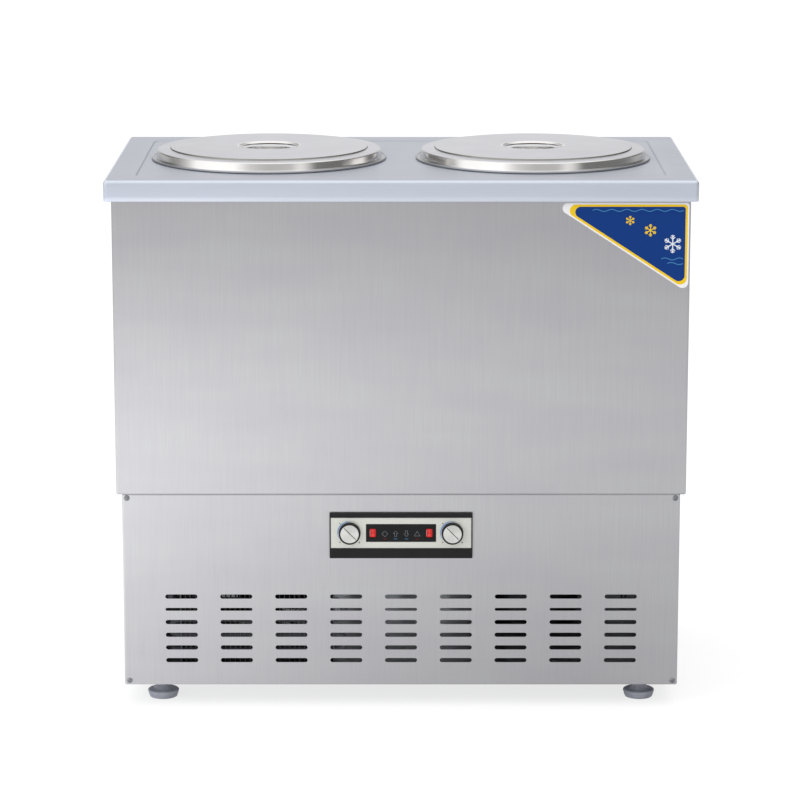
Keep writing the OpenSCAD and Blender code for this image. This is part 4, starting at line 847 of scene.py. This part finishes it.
def rounded_triangle(inset, extra):
    """The sticker's outline moved inwards by inset, its corners rounded by arcs that touch both sides."""
    corners = []
    for k in range(3):
        here, before, after = STICKER[k], STICKER[k - 1], STICKER[(k + 1) % 3]
        to_before, to_after = unit(before - here), unit(after - here)
        middle = unit(to_before + to_after)
        half = math.acos(np.clip(to_before @ middle, -1, 1))
        radius = STICKER_ROUND[k] + extra
        centre = here + middle * (radius + inset) / math.sin(half)
        first = math.atan2(-to_before[0], to_before[1])
        last = math.atan2(to_after[0], -to_after[1])
        sweep = (last - first + np.pi) % (2 * np.pi) - np.pi
        corners.append(centre + radius * heading(first + sweep * np.linspace(0, 1, 16)))
    return np.vstack(corners)


def layer(outline, back, front):
    """A thin plate with that outline, its two faces fanned out from the middle."""
    middle = np.broadcast_to(outline.mean(axis=0), outline.shape)
    rows = [(middle, front), (outline, front), (outline, back), (middle, back)]
    return np.stack([stacked(p[:, 0], PANEL_Y - y, p[:, 1]) for p, y in rows])


def snowflake(x, z, size, width):
    """Three lines across and two pairs of barbs on each of six arms."""
    bars = []
    for k in range(6):
        way = heading(math.radians(60 * k + 30))
        side = np.array([-way[1], way[0]])
        if k < 3:
            bars.append(stroke([[x, z] - way * size, [x, z] + way * size], width, 0.10 + 0.01 * k))
        for reach, barb in ((0.5, 0.26), (0.75, 0.18)):
            root = [x, z] + way * size * reach
            path = [root + (way + side) * size * barb, root, root + (way - side) * size * barb]
            bars.append(stroke(path, width * 0.8, 0.15 + 0.005 * k))
    return bars


vinyl_white = ink("white_vinyl", "#F4F3F5", 0.35)
vinyl_yellow = ink("yellow_vinyl", "#F4CC24", 0.35, 0.15)
vinyl_blue = ink("blue_vinyl", "#103A80", 0.32, 0.12)
for name, finish, inset, extra, back, front in (
        ("sticker_rim", vinyl_white, 0.0, 0.0, 0.02, 0.2), ("sticker_band", vinyl_yellow, 2.2, 1.5, 0.2, 0.3),
        ("sticker_field", vinyl_blue, 5.6, 0.2, 0.3, FIELD_OVER)):
    plate = Shell().add(layer(rounded_triangle(inset, extra), back, front))
    piece(name, plate, [finish], "cabinet")
pale_ink = ink("pale_sticker_ink", "#E4EAF2", 0.35)
sky_ink = ink("sky_sticker_ink", "#3F7FB5", 0.35)
wave_x = np.linspace(0, 1, 60)
waves = []
for start, z, turns in ((290, 783.5, 6), (395, 709, 1.5), (404, 702, 1)):
    wave_z = z + 1.6 * np.sin(wave_x * turns * 2 * np.pi)
    waves.append(stroke(stacked(start + (WAVE_END - start) * wave_x, wave_z), 1.3))
small_flakes = snowflake(378, 753, 9.5, 1.3) + snowflake(347, 768, 7, 1.1)
for name, bars, finish in (("sticker_snowflake", snowflake(412, 732, 14, 1.6), pale_ink),
                           ("sticker_snowflakes_small", small_flakes, vinyl_yellow),
                           ("sticker_waves", waves, sky_ink)):
    printed(name, bars, finish, "cabinet", PANEL_Y - FIELD_OVER)

# %% [markdown]
# ## Feet
# A foot is a nylon pad with a neck, moulded round a threaded stem that screws into a nut in the pan. The
# stem's thread is a real screw surface: its radius rises and falls with the height minus the pitch times the
# turn.

# %% Feet
FOOT_X, FOOT_Y, STEM_R, PITCH, THREAD = 375.0, 186.0, 4.95, 1.5, 0.35
FOOT_TOP, STEM_TOP = 49.2, 79.3
CORNERS = ("front_left", "front_right", "back_left", "back_right")
foot_profile = np.array([
    [0, 0], [8, 0], [8.5, 0.5], [14, 0.5], [14.5, 0], [20.2, 0], [21.1, 0.3], [21.7, 1.1], [23.2, 5.4],
    [24.3, 9], [24.5, 10.1], [24.2, 11.1], [23.2, 11.9], [21, 12.3], [16, 12.9], [14.6, 13.6], [12.6, 16.8],
    [11.2, 19.4], [10.5, 21.2], [10.5, FOOT_TOP - 0.6], [9.9, FOOT_TOP], [STEM_R - THREAD, FOOT_TOP]])
stem_z = np.arange(FOOT_TOP, STEM_TOP - 0.8, 0.25)[:, None]
turn = full_turn(40)
thread = STEM_R - THREAD / 2 + THREAD / 2 * np.cos(2 * np.pi * stem_z / PITCH - turn)
tip_profile = np.array([[STEM_R - THREAD, STEM_TOP - 0.8], [STEM_R - 1, STEM_TOP], [0, STEM_TOP]])
for name in CORNERS:
    x, y = FOOT_X * (1 if "right" in name else -1), FOOT_Y * (1 if "back" in name else -1)
    stem = stacked(x + thread * np.cos(turn), y + thread * np.sin(turn), stem_z)
    foot_shell = Shell().add(revolved(foot_profile, (x, y), 96))
    foot_shell.add(np.concatenate([stem, revolved(tip_profile, (x, y), 40)]), 1)
    piece(f"foot_{name}_moulded", foot_shell, [foot_finish, zinc_finish], f"foot_{name}",
          f"foot_{name}", 40)

# %% [markdown]
# ## Panel screws
# The lower panels are held by cross-head screws, four in front and four behind. A head is a low dome in polar
# form: rings run out from its middle, and each point is pressed in where it lies inside one of the two
# crossing grooves.

# %% Panel screws
SCREW_X, SCREW_Z, SEAT_Y, SHANK_END = 423.5, (41.0, 333.7), -241.0, -236.2
HEAD_R, HEAD_H, HEAD_EDGE, SHANK_R = 4.5, 2.2, 0.5, 1.5
GROOVE_HALF, GROOVE_L, GROOVE_DEPTH = 0.6, 2.3, 1.2
ring_r = np.concatenate([np.linspace(0, 2.8, 24), np.linspace(3.0, 4.4, 8), [HEAD_R]])[:, None]
ring_a = full_turn(72)[None, :]
head_x, head_z = ring_r * np.cos(ring_a), ring_r * np.sin(ring_a)
u, v = np.abs(head_x), np.abs(head_z)
dome = HEAD_EDGE + (HEAD_H - HEAD_EDGE) * np.sqrt(np.maximum(1 - (ring_r / HEAD_R) ** 2, 0)) ** 0.8
over = eased((GROOVE_HALF + 0.1 - np.minimum(u, v)) / 0.2)
along = eased((GROOVE_L + 0.1 - np.maximum(u, v)) / 0.2)
head = stacked(head_x, GROOVE_DEPTH * over * along - dome, head_z)
shank_tip = SEAT_Y - SHANK_END
shank = facing_front(np.array([[HEAD_R, 0], [SHANK_R, 0], [SHANK_R, shank_tip], [0, shank_tip]]), 0, 0, 0, 72)
screw = np.concatenate([head, shank])
screws = Shell()
for back in (1, -1):
    for x in (-SCREW_X, SCREW_X):
        for z in SCREW_Z:
            screws.add((screw + [x, SEAT_Y, z]) * [1, back, 1])
piece("panel_screws_turned", screws, [screw_finish], "cabinet", "panel_screws")

# %% [markdown]
# ## Finishes of the CAD pieces
# Flat panels, the control surround and everything inside have the right shape already, so they stay as the
# CAD model gives them and only take a finish. A table from finish to nodes keeps this in one place, with a
# star for left and right.

# %% Finishes of the CAD pieces
cad_finishes = {
    panel_finish: "upper_front_panel upper_back_panel upper_side_panel_*"
                  " lower_front_panel lower_back_panel lower_side_panel_*",
    well_finish: "well_*",
    zinc_finish: "divider_plate base_pan corner_posts fan_shroud foot_nuts",
    foam_finish: "insulation_foam",
    copper_finish: "evaporator_* filter_drier discharge_line liquid_line suction_line",
    coil_finish: "condenser_tube",
    enamel_finish: "compressor",
    rubber_finish: "compressor_mounts",
    black_plastic_finish: "knob_* compressor_terminal_cover cable_gland control_bezel control_housing",
    fin_finish: "condenser_fins",
    motor_finish: "fan_motor",
    blade_finish: "fan_blade",
    brass_finish: "solenoid_valves",
    fascia_finish: "control_fascia",
    acrylic_finish: "control_window switch_body_*",
    lens_finish: "indicator_lenses",
    white_plastic_finish: "thermostat_*",
    screw_finish: "panel_screws thermostat_shaft_*",
    worktop_painted_shade_finish: "worktop",
    pot_wall_finish: "pot_*",
    strap_finish: "lid_strap_*",
    lid_top_finish: "lid_*",
    cap_finish: "knob_cap_*",
    rocker_finish: "switch_rocker_*",
    foot_finish: "foot_front_* foot_back_*"}
dressed = 0
for finish, names in cad_finishes.items():
    for name in names.split():
        for side in ("left", "right") if "*" in name else ("",):
            for material_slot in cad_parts[name.replace("*", side)].material_slots:
                material_slot.material = finish
                dressed += 1
print(dressed, "CAD pieces finished of", len(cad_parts))

# %% [markdown]
# ## Studio
# The object stands on a plain pale floor under large soft lights. The camera sees the floor and the world as
# white, and the floor keeps part of its shading, so the shadow under the cabinet stays. Steel shows whatever
# room it stands in. From a camera a little above them the upright panels mirror the floor, so the floor's own
# glow falls off to the right and far away, and the panels show that as a soft change of tone. The lids mirror
# the walls, which differ in brightness, as in a studio with a window on the left and dark curtains on the
# right. A very weak lamp just inside the slots stands for the light that strays about in the lower body.

# %% Floor
FLOOR = 40.0
FLOOR_GLOW, FLOOR_SHADE = 0.74, 0.34


def grey(level):
    """A neutral colour of that brightness."""
    return (level, level, level, 1)


floor_material, place = new_finish("studio_floor")
tree = floor_material.node_tree
rays = node(tree, "LightPath").outputs
seen = calc("MAXIMUM", rays["Is Camera Ray"], rays["Is Glossy Ray"])
seen = calc("MAXIMUM", seen, rays["Is Transmission Ray"])
away = node(tree, "VectorMath", {0: place}, operation="LENGTH").outputs["Value"]
sideways = node(tree, "SeparateXYZ", {0: place}).outputs["X"]
pool = ranged(sideways, -1.2, 0.4, 1.26, 0.4, interpolation_type="SMOOTHSTEP")
near = ranged(away, 0.9, 1.9, 0.74)
far = ranged(away, 3.0, 5.4, 1.0, 0.35)
left = ranged(sideways, -2.1, -1.0, 0.5)
for falloff in (near, far, left):
    pool = calc("MULTIPLY", pool, falloff)
level = node(tree, "Mix", {0: rays["Is Camera Ray"], 2: pool, 3: FLOOR_GLOW})
plain = node(tree, "BsdfDiffuse", {"Color": linear("#E8E8E8")})
shaded = node(tree, "BsdfDiffuse", {"Color": grey(FLOOR_SHADE)})
glow = node(tree, "Emission", {"Color": grey(1), "Strength": level})
pale = node(tree, "AddShader", {0: shaded, 1: glow})
shown_by(floor_material, node(tree, "MixShader", {0: seen, 1: plain, 2: pale}))
floor_mesh = bpy.data.meshes.new("floor")
floor_mesh.from_pydata([(-FLOOR, -FLOOR, 0), (FLOOR, -FLOOR, 0), (FLOOR, FLOOR, 0), (-FLOOR, FLOOR, 0)], [],
                       [(0, 1, 2, 3)])
floor_mesh.materials.append(floor_material)
floor = placed("floor", floor_mesh)
print("floor, metres:", floor.dimensions.x, "by", floor.dimensions.y)

# %% World
BACK_WALL, CEILING, ROOM_LIGHT = 0.78, 0.9, 1.26
WALLS = ((-158, 0.5), (-146, 0.23), (-128, 0.12), (-116, 0.12), (-104, 0.26), (-90, 0.52), (-78, 0.96),
         (-34, 1.0), (-18, 0.56), (0, 0.41), (24, 0.45), (33, 0.75), (40, 0.6), (50, 0.14), (146, 0.12),
         (158, 0.5))
world = bpy.data.worlds.new("studio")
bpy.context.scene.world = world
world.use_nodes = True
tree = world.node_tree
tree.nodes.clear()
way = node(tree, "SeparateXYZ", {0: node(tree, "TexCoord").outputs["Generated"]}).outputs
turn = calc("ARCTAN2", way["X"], calc("MULTIPLY", way["Y"], -1.0))
walls = node(tree, "ValToRGB", {"Fac": ranged(turn, -math.pi, math.pi)})
for degrees, level in WALLS:
    walls.color_ramp.elements.new((degrees + 180) / 360).color = grey(level)
for end in (0, -1):
    walls.color_ramp.elements[end].color = grey(BACK_WALL)
height = ranged(way["Z"], 0.3, 0.85)
room = node(tree, "Mix", {0: height, 6: walls, 7: grey(CEILING)}, data_type="RGBA").outputs[2]
soft = node(tree, "Background", {"Color": room, "Strength": ROOM_LIGHT})
white = node(tree, "Background", {"Color": grey(1), "Strength": 1.0})
rays = node(tree, "LightPath").outputs
seen = calc("MAXIMUM", rays["Is Camera Ray"], rays["Is Transmission Ray"])
node(tree, "OutputWorld", {"Surface": node(tree, "MixShader", {0: seen, 1: soft, 2: white})})
print("walls:", len(walls.color_ramp.elements), "steps of brightness")

# %% Lamps
from mathutils import Vector


def softbox(name, place, aim, width, height, power):
    """An area lamp that faces a point. It doesn't show in steel, which would mirror it as a white square."""
    lamp = bpy.data.lights.new(name, "AREA")
    lamp.shape, lamp.size, lamp.size_y, lamp.energy = "RECTANGLE", width, height, power
    made = placed(name, lamp)
    made.location = place
    made.rotation_euler = (Vector(aim) - Vector(place)).to_track_quat("-Z", "Y").to_euler()
    made.visible_glossy = made.visible_camera = False
    return made


softbox("key_light", (-1.9, -1.9, 1.5), (-0.2, 0, 0.5), 1.6, 1.6, 16)
softbox("fill_light", (3.0, -2.4, 1.8), (0, 0, 0.4), 2.0, 2.0, 6)
softbox("top_light", (0, 0.6, 3.4), (0, 0, 0.8), 2.6, 2.6, 12)
softbox("stray_light", (0, -0.225, 0.17), (0, 0, 0.17), 0.78, 0.2, 0.25).visible_glossy = True

# %% [markdown]
# ## Finish
# The view settings stay plain, so a colour renders as it is written.

bpy.context.scene.view_settings.view_transform = "Standard"
